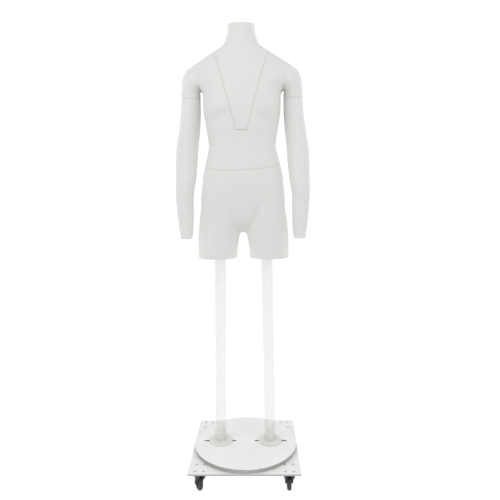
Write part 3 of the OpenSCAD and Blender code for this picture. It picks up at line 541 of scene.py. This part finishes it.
def thigh_rings(loop, side):
    """Rings from the split down to a thigh's end, keeping the directions of the loop's points."""
    middle, half, front, back, y = station(THIGH, SPLIT)
    depth = np.where(loop[:, 1] < y, front, back)
    angles = np.unwrap(np.arctan2((loop[:, 1] - y) / depth, (loop[:, 0] - side * middle) / half))
    full = 2 * math.pi
    steps = np.diff(angles, append=angles[0] + full)
    steps = np.maximum(steps, LEAST_TURN * full / len(loop))
    sums = np.cumsum(steps) - steps
    outer = TRUNK_N // 4
    angles = angles[outer] + (sums - sums[outer]) * full / steps.sum()
    off = loop - thigh_ring(loop[:, 2], side, angles)
    drop = np.maximum((SPLIT - loop[:, 2]) / (SPLIT - CROTCH), 0)
    # Near the crotch the rings take the thigh's own form early, which levels the top of the gap
    level = (np.exp(-(loop[:, 0] / LEVEL_REACH) ** 2) + np.sqrt(drop)) / 2
    rings = []
    for u in np.linspace(0, 1, THIGH_ROWS)[1:]:
        fall = 1 - math.cos(u * math.pi / 2)
        early = math.sin(u * math.pi / 2) ** LEVEL_POWER
        left = 1 - mix(ease(fall), early, level)[:, None]
        rings.append(thigh_ring(mix(loop[:, 2], THIGH_BLEND, fall), side, angles) + left * off)
    end, lip = THIGH_END, LIP["end"]
    heights = np.linspace(THIGH_BLEND, end + lip, THIGH_ROWS)[1:]
    rings += [thigh_ring(h, side, angles) for h in heights]
    rings += [thigh_ring(end, side, angles, inset, away) for away, inset in lip_steps(lip)[1:]]
    return rings


def thigh_ring(h, side, angles, inset=0.0, lift=0.0):
    """One ring of a thigh, whose height may differ from point to point."""
    h = np.broadcast_to(h, angles.shape)
    middle, half, front, back, y = station(THIGH, h)
    c, s = np.cos(angles), np.sin(angles)
    depth = np.where(s < 0, front, back) - inset
    return np.stack([side * middle + (half - inset) * c, y + depth * s, h + lift], 1)


def thicken(bm, wall):
    """Gives an open skin an inside at the wall's distance, and rims along its open edges."""
    skin = bm.faces[:]
    rim = [e for e in bm.edges if e.is_boundary]
    inner = bmesh.ops.duplicate(bm, geom=bm.verts[:] + bm.edges[:] + skin)
    twin = {a: b for a, b in inner["vert_map"].items() if isinstance(a, bmesh.types.BMVert)}
    bm.normal_update()
    moves = [(twin[v], v.co - v.normal * wall * MM) for f in skin for v in f.verts]
    for vert, co in moves:
        vert.co = co
    lining = [f for f in inner["geom"] if isinstance(f, bmesh.types.BMFace)]
    bmesh.ops.reverse_faces(bm, faces=lining)
    for e in rim:
        a, b = e.verts
        bm.faces.new((a, b, twin[b], twin[a]))


# Chest and removable neck

def neck_planes(side, low, back):
    """Planes of the neckline wedge as points and outward normals, drawn in by these amounts."""
    return [
        (np.array([V_HALF - side, 0, V_H]), np.array([1, 0, -V_SLOPE])),
        (np.array([side - V_HALF, 0, V_H]), np.array([-1, 0, -V_SLOPE])),
        (np.array([0, 0, V_H + low]), np.array([0, 0, -1.0])),
        (np.array([0, V_Y - back, V_H]), np.array([0, 1, -1 / V_RISE])),
    ]


def wedge_depth(points, planes):
    """Signed distance past each plane, positive outside."""
    return np.stack([(points - co) @ no / np.linalg.norm(no) for co, no in planes], 1)


def cut(bm, planes):
    """Adds edges where planes cross the mesh."""
    for co, no in planes:
        geom = bm.verts[:] + bm.edges[:] + bm.faces[:]
        bmesh.ops.bisect_plane(bm, geom=geom, dist=CUT_TOUCH * MM, plane_co=place(co), plane_no=no)


def face_centres(bm):
    return in_millimetres([f.calc_center_median() for f in bm.faces])


def armhole_plane(side, x=ARMHOLE_X):
    """The armhole's plane, as a list of one point and outward normal."""
    return [(np.array([side * x, 0, 0]), np.array([side, 0, 0]))]


def trunk_skin():
    """The skin from waist to neck, before the armholes and the neckline are cut."""
    angles = turns(TRUNK_N)
    first_lip = lip_steps(LIP["waist"])[::-1]
    rings = [trunk_ring(WAIST, angles, inset, away) for away, inset in first_lip]
    marks = [SECTION_SHADE["waist"]] * len(rings)
    lower = np.linspace(WAIST + OFF_WAIST, CLOSER_FROM, CHEST_ROWS)
    upper = np.linspace(CLOSER_FROM + CLOSER_STEP, NECK - OFF_NECK, CHEST_UPPER_ROWS)
    heights = np.concatenate([lower, upper])
    rings += [trunk_ring(h, angles) for h in heights]
    marks += [0] * len(heights)
    faces = grid_faces(len(rings), TRUNK_N)
    return mesh_from(np.concatenate(rings), faces, np.repeat(marks, TRUNK_N))


def delete_faces(bm, doomed):
    """Deletes the faces that are marked, one mark a face."""
    gone = [f for f, mark in zip(bm.faces[:], doomed) if mark]
    bmesh.ops.delete(bm, geom=gone, context="FACES")


def ends_of(edges):
    return {v for e in edges for v in e.verts}


def chamfer_rim(bm, rim, planes, at):
    """Pushes rim points into the body by their lip, along the plane that cut them."""
    layer = bm.verts.layers.float["edge"]
    bm.normal_update()
    moved = []
    for v in ends_of(rim):
        near = wedge_depth(in_millimetres([v.co]), planes)[0]
        normal = Vector(planes[int(np.argmin(np.abs(near)))][1]).normalized()
        inward = v.normal - normal * v.normal.dot(normal)
        moved.append((v, inward.normalized() * LIP[at] * MM))
    for v, step in moved:
        v.co -= step
        # The pushed rim points get the painted shade of their section line
        v[layer] = SECTION_SHADE[at]


def seat(bm, rim, planes):
    """Walls from the neckline rim straight back to the seat plane, and the seat itself."""
    side_at, back_at, rise = planes[0][0], planes[3][0], -1 / planes[3][1][2]

    def back(z):
        return back_at[1] + (z - back_at[2]) / rise

    # Rim points on the seat stay; those below a side's end go straight back, those above go to it
    at = {v: in_millimetres([v.co])[0] for e in rim for v in e.verts}
    behind = {v: v for v, (x, y, z) in at.items() if abs(back(z) - y) < SEAT_NEAR}
    ends = {}
    for side in (1, -1):
        top = max((at[v] for v in behind), key=lambda p: side * p[0])[2] - SEAT_DROP
        reach = side_at[0] + V_SLOPE * (top - side_at[2])
        ends[side] = top, bm.verts.new(place([side * reach, back(top), top]))
    for v, (x, y, z) in at.items():
        top, end = ends[1 if x > 0 else -1]
        if v not in behind:
            behind[v] = end if z > top else bm.verts.new(place([x, back(z), z]))
    edges = {}
    for e in rim:
        a, b = e.verts
        corners = [a, b, behind[b], behind[a]]
        corners = [v for k, v in enumerate(corners) if v not in corners[:k]]
        if len(corners) > 2:
            bm.faces.new(corners)
        if behind[a] != behind[b]:
            pair = behind[a], behind[b]
            edges[bm.edges.get(pair) or bm.edges.new(pair)] = pair
    fill(bm, list(edges))


def fill(bm, edges):
    """A flat face over closed loops of edges that lie in one plane."""
    bmesh.ops.triangle_fill(bm, use_beauty=True, use_dissolve=False, edges=edges)


def rim_edges(bm, test):
    """Open edges whose two ends both pass the test, given in millimetres."""
    found = []
    for e in bm.edges:
        if e.is_boundary and all(test(p) for p in in_millimetres([v.co for v in e.verts])):
            found.append(e)
    return found


def bore(bm, side, h, diameter, depth, count):
    """Edges of a round mouth in an armhole, with its wall and bottom."""
    mouth, bottom = [], []
    for a in turns(count):
        y, z = SOCKET_Y + diameter / 2 * math.cos(a), h + diameter / 2 * math.sin(a)
        mouth.append(bm.verts.new(place([side * ARMHOLE_X, y, z])))
        bottom.append(bm.verts.new(place([side * (ARMHOLE_X - depth), y, z])))
    join_loops(bm, mouth, bottom)
    bm.faces.new(bottom)
    return [bm.edges.get((mouth[k], mouth[(k + 1) % count])) for k in range(count)]


def chest_shell(name):
    """Waist to shoulders, with flat armholes that hold their sockets, and the seat of the neck."""
    bm = trunk_skin()
    for side in (1, -1):
        for x in (ARMHOLE_X - LIP["armhole"], ARMHOLE_X):
            cut(bm, armhole_plane(side, x))
    lip, planes = LIP["neck"], neck_planes(0, 0, 0)
    cut(bm, neck_planes(-lip, -lip, -lip))
    cut(bm, planes)
    centres = face_centres(bm)
    in_wedge = (wedge_depth(centres, planes) < 0).all(1)
    delete_faces(bm, in_wedge | (np.abs(centres[:, 0]) > ARMHOLE_X))
    for side in (1, -1):
        rim = rim_edges(bm, lambda p: abs(p[0] - side * ARMHOLE_X) < TOUCH)
        chamfer_rim(bm, rim, armhole_plane(side), "armhole")
        holes = bore(bm, side, SOCKET_H, SOCKET_D, SOCKET_DEPTH, SOCKET_N)
        holes += bore(bm, side, SOCKET_H + KEY_UP, KEY_D, KEY_DEPTH, KEY_N)
        fill(bm, rim + holes)
    rim = rim_edges(bm, lambda p: p[2] > WAIST + WAIST_BAND)
    chamfer_rim(bm, rim, planes, "neck")
    seat(bm, rim, planes)
    fill(bm, rim_edges(bm, lambda p: p[2] < WAIST + WAIST_BAND))
    return finish_mesh(bm, name, SHARP_CUT)


def neck_insert(name):
    """The removable neck and chest piece, which stands clear of its seat all round."""
    bm = trunk_skin()
    lip, gap = LIP["neck"], 2 * GAP["neck"]
    planes = neck_planes(gap, V_SLIT, SEAT_GAP)
    cut(bm, neck_planes(gap + lip, V_SLIT + lip, lip))
    cut(bm, planes)
    delete_faces(bm, (wedge_depth(face_centres(bm), planes) > 0).any(1))
    rim = rim_edges(bm, lambda p: p[2] < NECK - NECK_BAND)
    chamfer_rim(bm, rim, planes, "neck")
    seat(bm, rim, planes)
    neck_top(bm)
    return finish_mesh(bm, name, SHARP_CUT)


def neck_top(bm):
    """Rounded lip and ledge at the top of the neck, round the cap."""
    layer = bm.verts.layers.float["edge"]
    angles = turns(TRUNK_N)
    lip = LIP["end"]
    old = rim_edges(bm, lambda p: p[2] > NECK - NECK_BAND)
    steps = [(inset, -away) for away, inset in lip_steps(lip)] + [(RIM, 0), (RIM, -CAP_T)]
    loop = order_by_angle(ends_of(old))
    for inset, lift in steps:
        ring = [bm.verts.new(co) for co in place(trunk_ring(NECK, angles, inset, lift))]
        ring = order_by_angle(ring)
        # Points of the lip and ledge get the painted shade of the neck's end
        for v in ring:
            v[layer] = SECTION_SHADE["end"]
        join_loops(bm, loop, ring)
        loop = ring
    bm.faces.new(loop)


def order_by_angle(verts):
    """Points of a ring round the neck, by their direction from its middle."""
    return sorted(verts, key=lambda v: math.atan2(v.co.y / MM - NECK_Y, v.co.x / MM))


def join_loops(bm, a, b):
    """Faces between two rings of as many points."""
    for corners in band(a, b):
        bm.faces.new(corners)


# Legs

def leg_tube(name, side):
    """A clear tube that leans in on its foot, with polished rims, where the frame has it."""
    low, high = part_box("leg_tubes")
    radius, lean = TUBE_OD / 2 * MM, math.radians(LEG_LEAN)
    foot = Vector((side * (high.x - radius * math.cos(lean)), 0, low.z + radius * math.sin(lean)))
    length = (high.z - low.z - 2 * radius * math.sin(lean)) / math.cos(lean)
    inside, rim = radius - TUBE_WALL * MM, TUBE_RIM * MM
    profile = [(radius, z) for z in np.linspace(rim, length - rim, TUBE_ROWS)]
    profile += [(radius - rim, length), (inside + rim, length)]
    profile += [(inside, z) for z in np.linspace(length - rim, rim, TUBE_ROWS)]
    profile += [(inside + rim, 0), (radius - rim, 0)]
    bm = bmesh.new()
    bore_mark = bm.verts.layers.float.new("bore")
    tilt = Matrix.Translation(foot) @ Matrix.Rotation(-side * lean, 4, "Y")
    for r, z in profile:
        for a in turns(TUBE_N):
            vert = bm.verts.new(tilt @ Vector((r * math.cos(a), r * math.sin(a), z)))
            vert[bore_mark] = float(r < inside + 2 * rim)
    bm.verts.ensure_lookup_table()
    for face in grid_faces(len(profile), TUBE_N, True):
        bm.faces.new([bm.verts[i] for i in face])
    return finish_mesh(bm, name)


# Materials

# Colour sockets of a mix node, whose other kinds of data have sockets of the same names
MIX_A, MIX_B, MIX_RESULT = 6, 7, 2


class Finish:
    """A Principled material and short ways to add its texture nodes."""

    def __init__(self, name, roughness, metallic=0.0, **sockets):
        self.material = bpy.data.materials.new(name)
        self.material.use_nodes = True
        self.nodes = self.material.node_tree.nodes
        self.links = self.material.node_tree.links
        self.shader = self.nodes["Principled BSDF"]
        self.where = self.nodes.new("ShaderNodeTexCoord").outputs["Object"]
        values = {"Roughness": roughness, "Metallic": metallic, **sockets}
        for socket, value in values.items():
            self.shader.inputs[socket.replace("_", " ")].default_value = value

    def noise(self, scale, detail=3.0, stretch=None):
        """Noise with scale in features a metre, optionally stretched along an axis."""
        node = self.nodes.new("ShaderNodeTexNoise")
        node.inputs["Scale"].default_value = scale
        node.inputs["Detail"].default_value = detail
        where = self.where
        if stretch:
            mapping = self.nodes.new("ShaderNodeMapping")
            mapping.inputs["Scale"].default_value = stretch
            self.links.new(where, mapping.inputs["Vector"])
            where = mapping.outputs["Vector"]
        self.links.new(where, node.inputs["Vector"])
        return node.outputs["Fac"]

    def range(self, value, low, high, start=0.3, end=0.7):
        """Runs from low to high while the value runs from start to end."""
        node = self.nodes.new("ShaderNodeMapRange")
        node.inputs["From Min"].default_value = start
        node.inputs["From Max"].default_value = end
        node.inputs["To Min"].default_value = low
        node.inputs["To Max"].default_value = high
        self.links.new(value, node.inputs["Value"])
        return node.outputs["Result"]

    def blend(self, factor, a, b):
        """Mixes two colours, each a colour or a socket, by a factor."""
        node = self.nodes.new("ShaderNodeMix")
        node.data_type = "RGBA"
        self.links.new(factor, node.inputs["Factor"])
        for socket, colour in ((node.inputs[MIX_A], a), (node.inputs[MIX_B], b)):
            if isinstance(colour, bpy.types.NodeSocket):
                self.links.new(colour, socket)
            else:
                socket.default_value = (*colour, 1)
        return node.outputs[MIX_RESULT]

    def upright(self):
        """Height of the surface's own normal: 1 on level faces, 0 on edges that stand up."""
        split = self.nodes.new("ShaderNodeSeparateXYZ")
        self.links.new(self.where.node.outputs["Normal"], split.inputs["Vector"])
        size = self.nodes.new("ShaderNodeMath")
        size.operation = "ABSOLUTE"
        self.links.new(split.outputs["Z"], size.inputs[0])
        return size.outputs["Value"]

    def attribute(self, name):
        node = self.nodes.new("ShaderNodeAttribute")
        node.attribute_name = name
        return node.outputs["Fac"]

    def colour(self, socket):
        self.links.new(socket, self.shader.inputs["Base Color"])

    def rough(self, socket):
        self.links.new(socket, self.shader.inputs["Roughness"])

    def bump(self, *layers):
        """Adds bump layers, each a height socket with its depth in metres."""
        last = None
        for height, depth in layers:
            node = self.nodes.new("ShaderNodeBump")
            node.inputs["Strength"].default_value = 1.0
            node.inputs["Distance"].default_value = depth
            self.links.new(height, node.inputs["Height"])
            if last:
                self.links.new(last, node.inputs["Normal"])
            last = node.outputs["Normal"]
        self.links.new(last, self.shader.inputs["Normal"])


def shell_finish():
    """Sprayed matt white with a faint orange peel and soft patches, and painted shade in the section
    lines.
    """
    f = Finish("shell_white", 0.55, Specular_IOR_Level=0.35)
    tone = f.blend(f.range(f.noise(6), 0, 1), (0.87, 0.862, 0.845), (0.845, 0.838, 0.823))
    specks = f.range(f.noise(420, 2), 0, 0.25, start=0.55, end=0.75)
    # Painted shade: the lips of the section lines are greyed in place of the shade in their gaps
    shade_in_lines = f.range(f.attribute("edge"), 0, 0.55, start=0, end=1)
    tone = f.blend(specks, tone, (0.79, 0.784, 0.766))
    f.colour(f.blend(shade_in_lines, tone, (0.5, 0.49, 0.47)))
    f.rough(f.range(f.noise(35), 0.48, 0.62))
    f.bump((f.noise(900, 2), 0.00004), (f.noise(140, 1), 0.00006))
    return f.material


def painted_finish(name, light, dark, roughness, grain, depth=0.00003, rim=None):
    """Powder coat or lacquer with a fine skin and uneven tone; rim is the grey of a painted shade on
    upright edges.
    """
    f = Finish(name, roughness)
    tone = f.blend(f.range(f.noise(9), 0, 1), light, dark)
    specks = f.range(f.noise(260, 4), 0, 0.35, start=0.62, end=0.8)
    tone = f.blend(specks, tone, [0.86 * c for c in dark])
    if rim:
        # Painted shade: faces that stand up are greyed, as the light from above leaves them darker
        tone = f.blend(f.range(f.upright(), 1, 0, start=0.45, end=0.8), tone, rim)
    f.colour(tone)
    f.rough(f.range(f.noise(60), roughness - 0.07, roughness + 0.07))
    f.bump((f.noise(grain, 2), depth))
    return f.material


def metal_finish(name, colour, roughness, stretch):
    """Turned or drawn metal with fine lines along one axis."""
    f = Finish(name, roughness, 1.0)
    lines = f.noise(500, 2, stretch)
    f.colour(f.blend(f.range(lines, 0, 1), colour, [0.8 * c for c in colour]))
    f.rough(f.range(lines, roughness - 0.08, roughness + 0.1))
    f.bump((lines, 0.00003))
    return f.material


def board_finish():
    """Sealed plywood with grain along X."""
    f = Finish("sealed_board", 0.5)
    grain = f.noise(40, 5, (0.12, 1, 1))
    pores = f.noise(700, 2, (0.05, 1, 1))
    tone = f.blend(f.range(grain, 0, 1), (0.62, 0.47, 0.31), (0.50, 0.36, 0.22))
    f.colour(f.blend(f.range(pores, 0, 0.4, start=0.6, end=0.75), tone, (0.33, 0.22, 0.13)))
    f.rough(f.range(grain, 0.42, 0.6))
    f.bump((pores, 0.00008))
    return f.material


def clear_finish():
    """Clear acrylic tube with the faint haze of handling; only its outside is tinted."""
    f = Finish("clear_acrylic", 0.1, Transmission_Weight=0.15, IOR=1.49, Specular_IOR_Level=0.3)
    haze = f.noise(30, 4, (1, 1, 0.2))
    f.colour(f.blend(f.range(haze, 0, 1), (0.80, 0.80, 0.80), (0.76, 0.76, 0.76)))
    f.rough(f.range(haze, 0.06, 0.14))
    tint = f.range(f.attribute("bore"), 0.26, 0.03, start=0, end=1)
    f.links.new(tint, f.shader.inputs["Alpha"])
    return f.material


def nylon_finish(name, light, dark, roughness):
    """Moulded black plastic with a spark-eroded skin and pale scuffs."""
    f = Finish(name, roughness)
    tone = f.blend(f.range(f.noise(45), 0, 1), light, dark)
    scuffs = f.range(f.noise(320, 5), 0, 0.5, start=0.64, end=0.8)
    f.colour(f.blend(scuffs, tone, (0.16, 0.16, 0.16)))
    f.rough(f.range(f.noise(90), roughness - 0.1, roughness + 0.1))
    f.bump((f.noise(1800, 2), 0.00005), (f.noise(240, 3), 0.00004))
    return f.material


WHITE = shell_finish()
# The base plate and the disc carry a painted shade on their upright edges
PLATE_PAINT = painted_finish("base_powder_coat", (0.93, 0.924, 0.912), (0.905, 0.90, 0.89), 0.42,
                             1500, depth=0.00005, rim=(0.46, 0.455, 0.44))
DISC_PAINT = painted_finish("disc_lacquer", (0.94, 0.935, 0.93), (0.915, 0.912, 0.907), 0.34, 700,
                            rim=(0.40, 0.395, 0.38))
FOOT_PAINT = painted_finish("foot_paint", (0.81, 0.802, 0.775), (0.77, 0.762, 0.74), 0.38, 1100)
FOOT_PLASTIC = painted_finish("foot_plastic", (0.94, 0.93, 0.895), (0.91, 0.90, 0.865), 0.45, 900)
SCREW_PAINT = painted_finish("painted_screw", (0.56, 0.56, 0.55), (0.50, 0.50, 0.49), 0.4, 900)
GLIDE = painted_finish("glide_plastic", (0.80, 0.80, 0.78), (0.74, 0.74, 0.72), 0.35, 600)
SOCKET_PLASTIC = painted_finish("socket_plastic", (0.66, 0.66, 0.64), (0.61, 0.61, 0.60), 0.45, 800)
BOARD = board_finish()
STEEL = metal_finish("zinc_steel", (0.60, 0.61, 0.63), 0.34, (1, 1, 12))
NICKEL = metal_finish("nickel_plate", (0.70, 0.69, 0.67), 0.2, (6, 6, 1))
CLEAR = clear_finish()
NYLON = nylon_finish("caster_nylon", (0.032, 0.032, 0.033), (0.022, 0.022, 0.023), 0.5)
WHEEL = nylon_finish("wheel_tread", (0.036, 0.036, 0.037), (0.026, 0.026, 0.027), 0.58)
CASTER_PAINT = nylon_finish("caster_black_paint", (0.04, 0.04, 0.042), (0.028, 0.028, 0.03), 0.4)


# Pieces

def stand_for(piece, body, node, finish=None):
    """Gives a piece its material and sets it on its body in place of a node."""
    piece.data.materials.append(finish or WHITE)
    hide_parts(node)
    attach(piece, body)


def body_pieces():
    stand_for(hip_shell("hip_skin"), "turntable", "hip_shell")
    stand_for(waist_shell("waist_skin"), "upper_torso", "waist_shell")
    stand_for(chest_shell("chest_skin"), "upper_torso", "chest_shell")
    stand_for(neck_insert("neck_skin"), "neck", "neck_insert")
    for name, side in (("l", -1), ("r", 1)):
        stand_for(leg_tube(f"leg_tube_{name}", side), "turntable", "leg_tubes", CLEAR)
        cap = shoulder_cap(f"shoulder_skin_{name}", side)
        stand_for(cap, f"shoulder_{name}", f"shoulder_cap_{name}")
        upper = arm_section(f"arm_skin_{name}", ARM_LOW, ARM_TOP, ARM_ROWS, side, "arm")
        stand_for(upper, f"arm_{name}", f"arm_shell_{name}")
        lower = arm_section(f"forearm_skin_{name}", WRIST, ARM_LOW, FOREARM_ROWS, side, "end")
        stand_for(lower, f"forearm_{name}", f"forearm_shell_{name}")


# Finish of a node by its name, or by how its name starts
NODE_FINISH = {
    "base_plate": PLATE_PAINT, "caster_bolts": SCREW_PAINT, "caster_plates": CASTER_PAINT,
    "glide_pads": GLIDE, "turntable_disc": DISC_PAINT,
    "leg_flanges": FOOT_PAINT, "leg_spigots": FOOT_PLASTIC, "leg_tubes": CLEAR,
    "thigh_sockets": SOCKET_PLASTIC, "hip_magnets": NICKEL, "waist_magnets": NICKEL,
    "thigh_plates": WHITE, "wrist_plate_l": WHITE, "wrist_plate_r": WHITE, "neck_cap": WHITE,
    "hip_plate": BOARD, "waist_plate": BOARD, "waist_bulkhead": BOARD,
}
START_FINISH = {
    "fork_": NYLON, "wheel_": WHEEL, "axle_": CASTER_PAINT,
    "shoulder_plate": BOARD, "cap_plate": BOARD, "arm_plate": BOARD, "arm_end": BOARD,
    "forearm_plate": BOARD,
}


def finish_nodes():
    """Every node gets its finish; the fasteners and bearings that aren't listed are steel."""
    for name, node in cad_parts.items():
        starts = (m for start, m in START_FINISH.items() if name.startswith(start))
        node.data.materials.clear()
        node.data.materials.append(NODE_FINISH.get(name) or next(starts, STEEL))


# Stage, light and camera

def make_floor():
    bm = bmesh.new()
    left, right, near, far = -FLOOR_HALF, FLOOR_HALF, FLOOR_NEAR, FLOOR_FAR
    for x, y in ((left, near), (right, near), (right, far), (left, far)):
        bm.verts.new((x, y, 0))
    bm.faces.new(bm.verts)
    mesh = bpy.data.meshes.new("floor")
    bm.to_mesh(mesh)
    bm.free()
    floor = new_object("floor", mesh)
    f = Finish("studio_floor", 0.9, Emission_Strength=FLOOR_GLOW, Emission_Color=(1, 1, 1, 1))
    f.colour(f.blend(f.range(f.noise(2), 0, 1), (0.26, 0.26, 0.26), (0.25, 0.25, 0.25)))
    mesh.materials.append(f.material)


def make_light():
    """A white studio, a little brighter from above, with two soft lights in front, two behind."""
    world = bpy.data.worlds.new("studio")
    world.use_nodes = True
    bpy.context.scene.world = world
    nodes, links = world.node_tree.nodes, world.node_tree.links
    room = nodes["Background"]
    where = nodes.new("ShaderNodeTexCoord")
    split = nodes.new("ShaderNodeSeparateXYZ")
    rise = nodes.new("ShaderNodeMapRange")
    links.new(where.outputs["Generated"], split.inputs["Vector"])
    links.new(split.outputs["Z"], rise.inputs["Value"])
    span = {"From Min": -ROOM_TURN, "From Max": ROOM_TURN, "To Min": ROOM[0], "To Max": ROOM[1]}
    for socket, value in span.items():
        rise.inputs[socket].default_value = value
    links.new(rise.outputs["Result"], room.inputs["Strength"])
    shown = nodes.new("ShaderNodeBackground")
    shown.inputs["Strength"].default_value = BACKDROP
    path = nodes.new("ShaderNodeLightPath")
    choose = nodes.new("ShaderNodeMixShader")
    links.new(path.outputs["Is Camera Ray"], choose.inputs["Fac"])
    links.new(room.outputs[0], choose.inputs[1])
    links.new(shown.outputs[0], choose.inputs[2])
    links.new(choose.outputs[0], nodes["World Output"].inputs["Surface"])
    for background in (room, shown):
        background.inputs["Color"].default_value = (1, 1, 1, 1)
    for name, turn, height, strength in LIGHTS:
        data = bpy.data.lights.new(name, "POINT")
        data.energy = strength * 4 * math.pi * LIGHT_AWAY ** 2
        data.shadow_soft_size = LIGHT_SIZE
        lamp = new_object(name, data)
        lamp.visible_camera = False
        turn, height = math.radians(turn), math.radians(height)
        level = math.cos(height)
        toward = Vector((math.sin(turn) * level, -math.cos(turn) * level, math.sin(height)))
        lamp.location = Vector((0, 0, LIGHT_AIM)) + toward * LIGHT_AWAY


def make_camera():
    data = bpy.data.cameras.new("camera")
    data.lens = CAMERA_LENS
    data.sensor_width = CAMERA_SENSOR
    camera = new_object("camera", data)
    pitch, yaw, roll = (math.radians(a) for a in (CAMERA_PITCH, CAMERA_YAW, CAMERA_ROLL))
    level = math.cos(pitch)
    forward = Vector((math.sin(yaw) * level, math.cos(yaw) * level, math.sin(pitch)))
    right = Vector((math.cos(yaw), -math.sin(yaw), 0))
    up = right.cross(forward)
    side = right * math.cos(roll) - up * math.sin(roll)
    top = up * math.cos(roll) + right * math.sin(roll)
    facing = Matrix((side, top, -forward)).transposed().to_4x4()
    camera.matrix_world = Matrix.Translation(CAMERA_AT) @ facing
    bpy.context.scene.camera = camera


bpy.context.scene.view_settings.view_transform = "Standard"
finish_nodes()
body_pieces()
make_floor()
make_light()
make_camera()
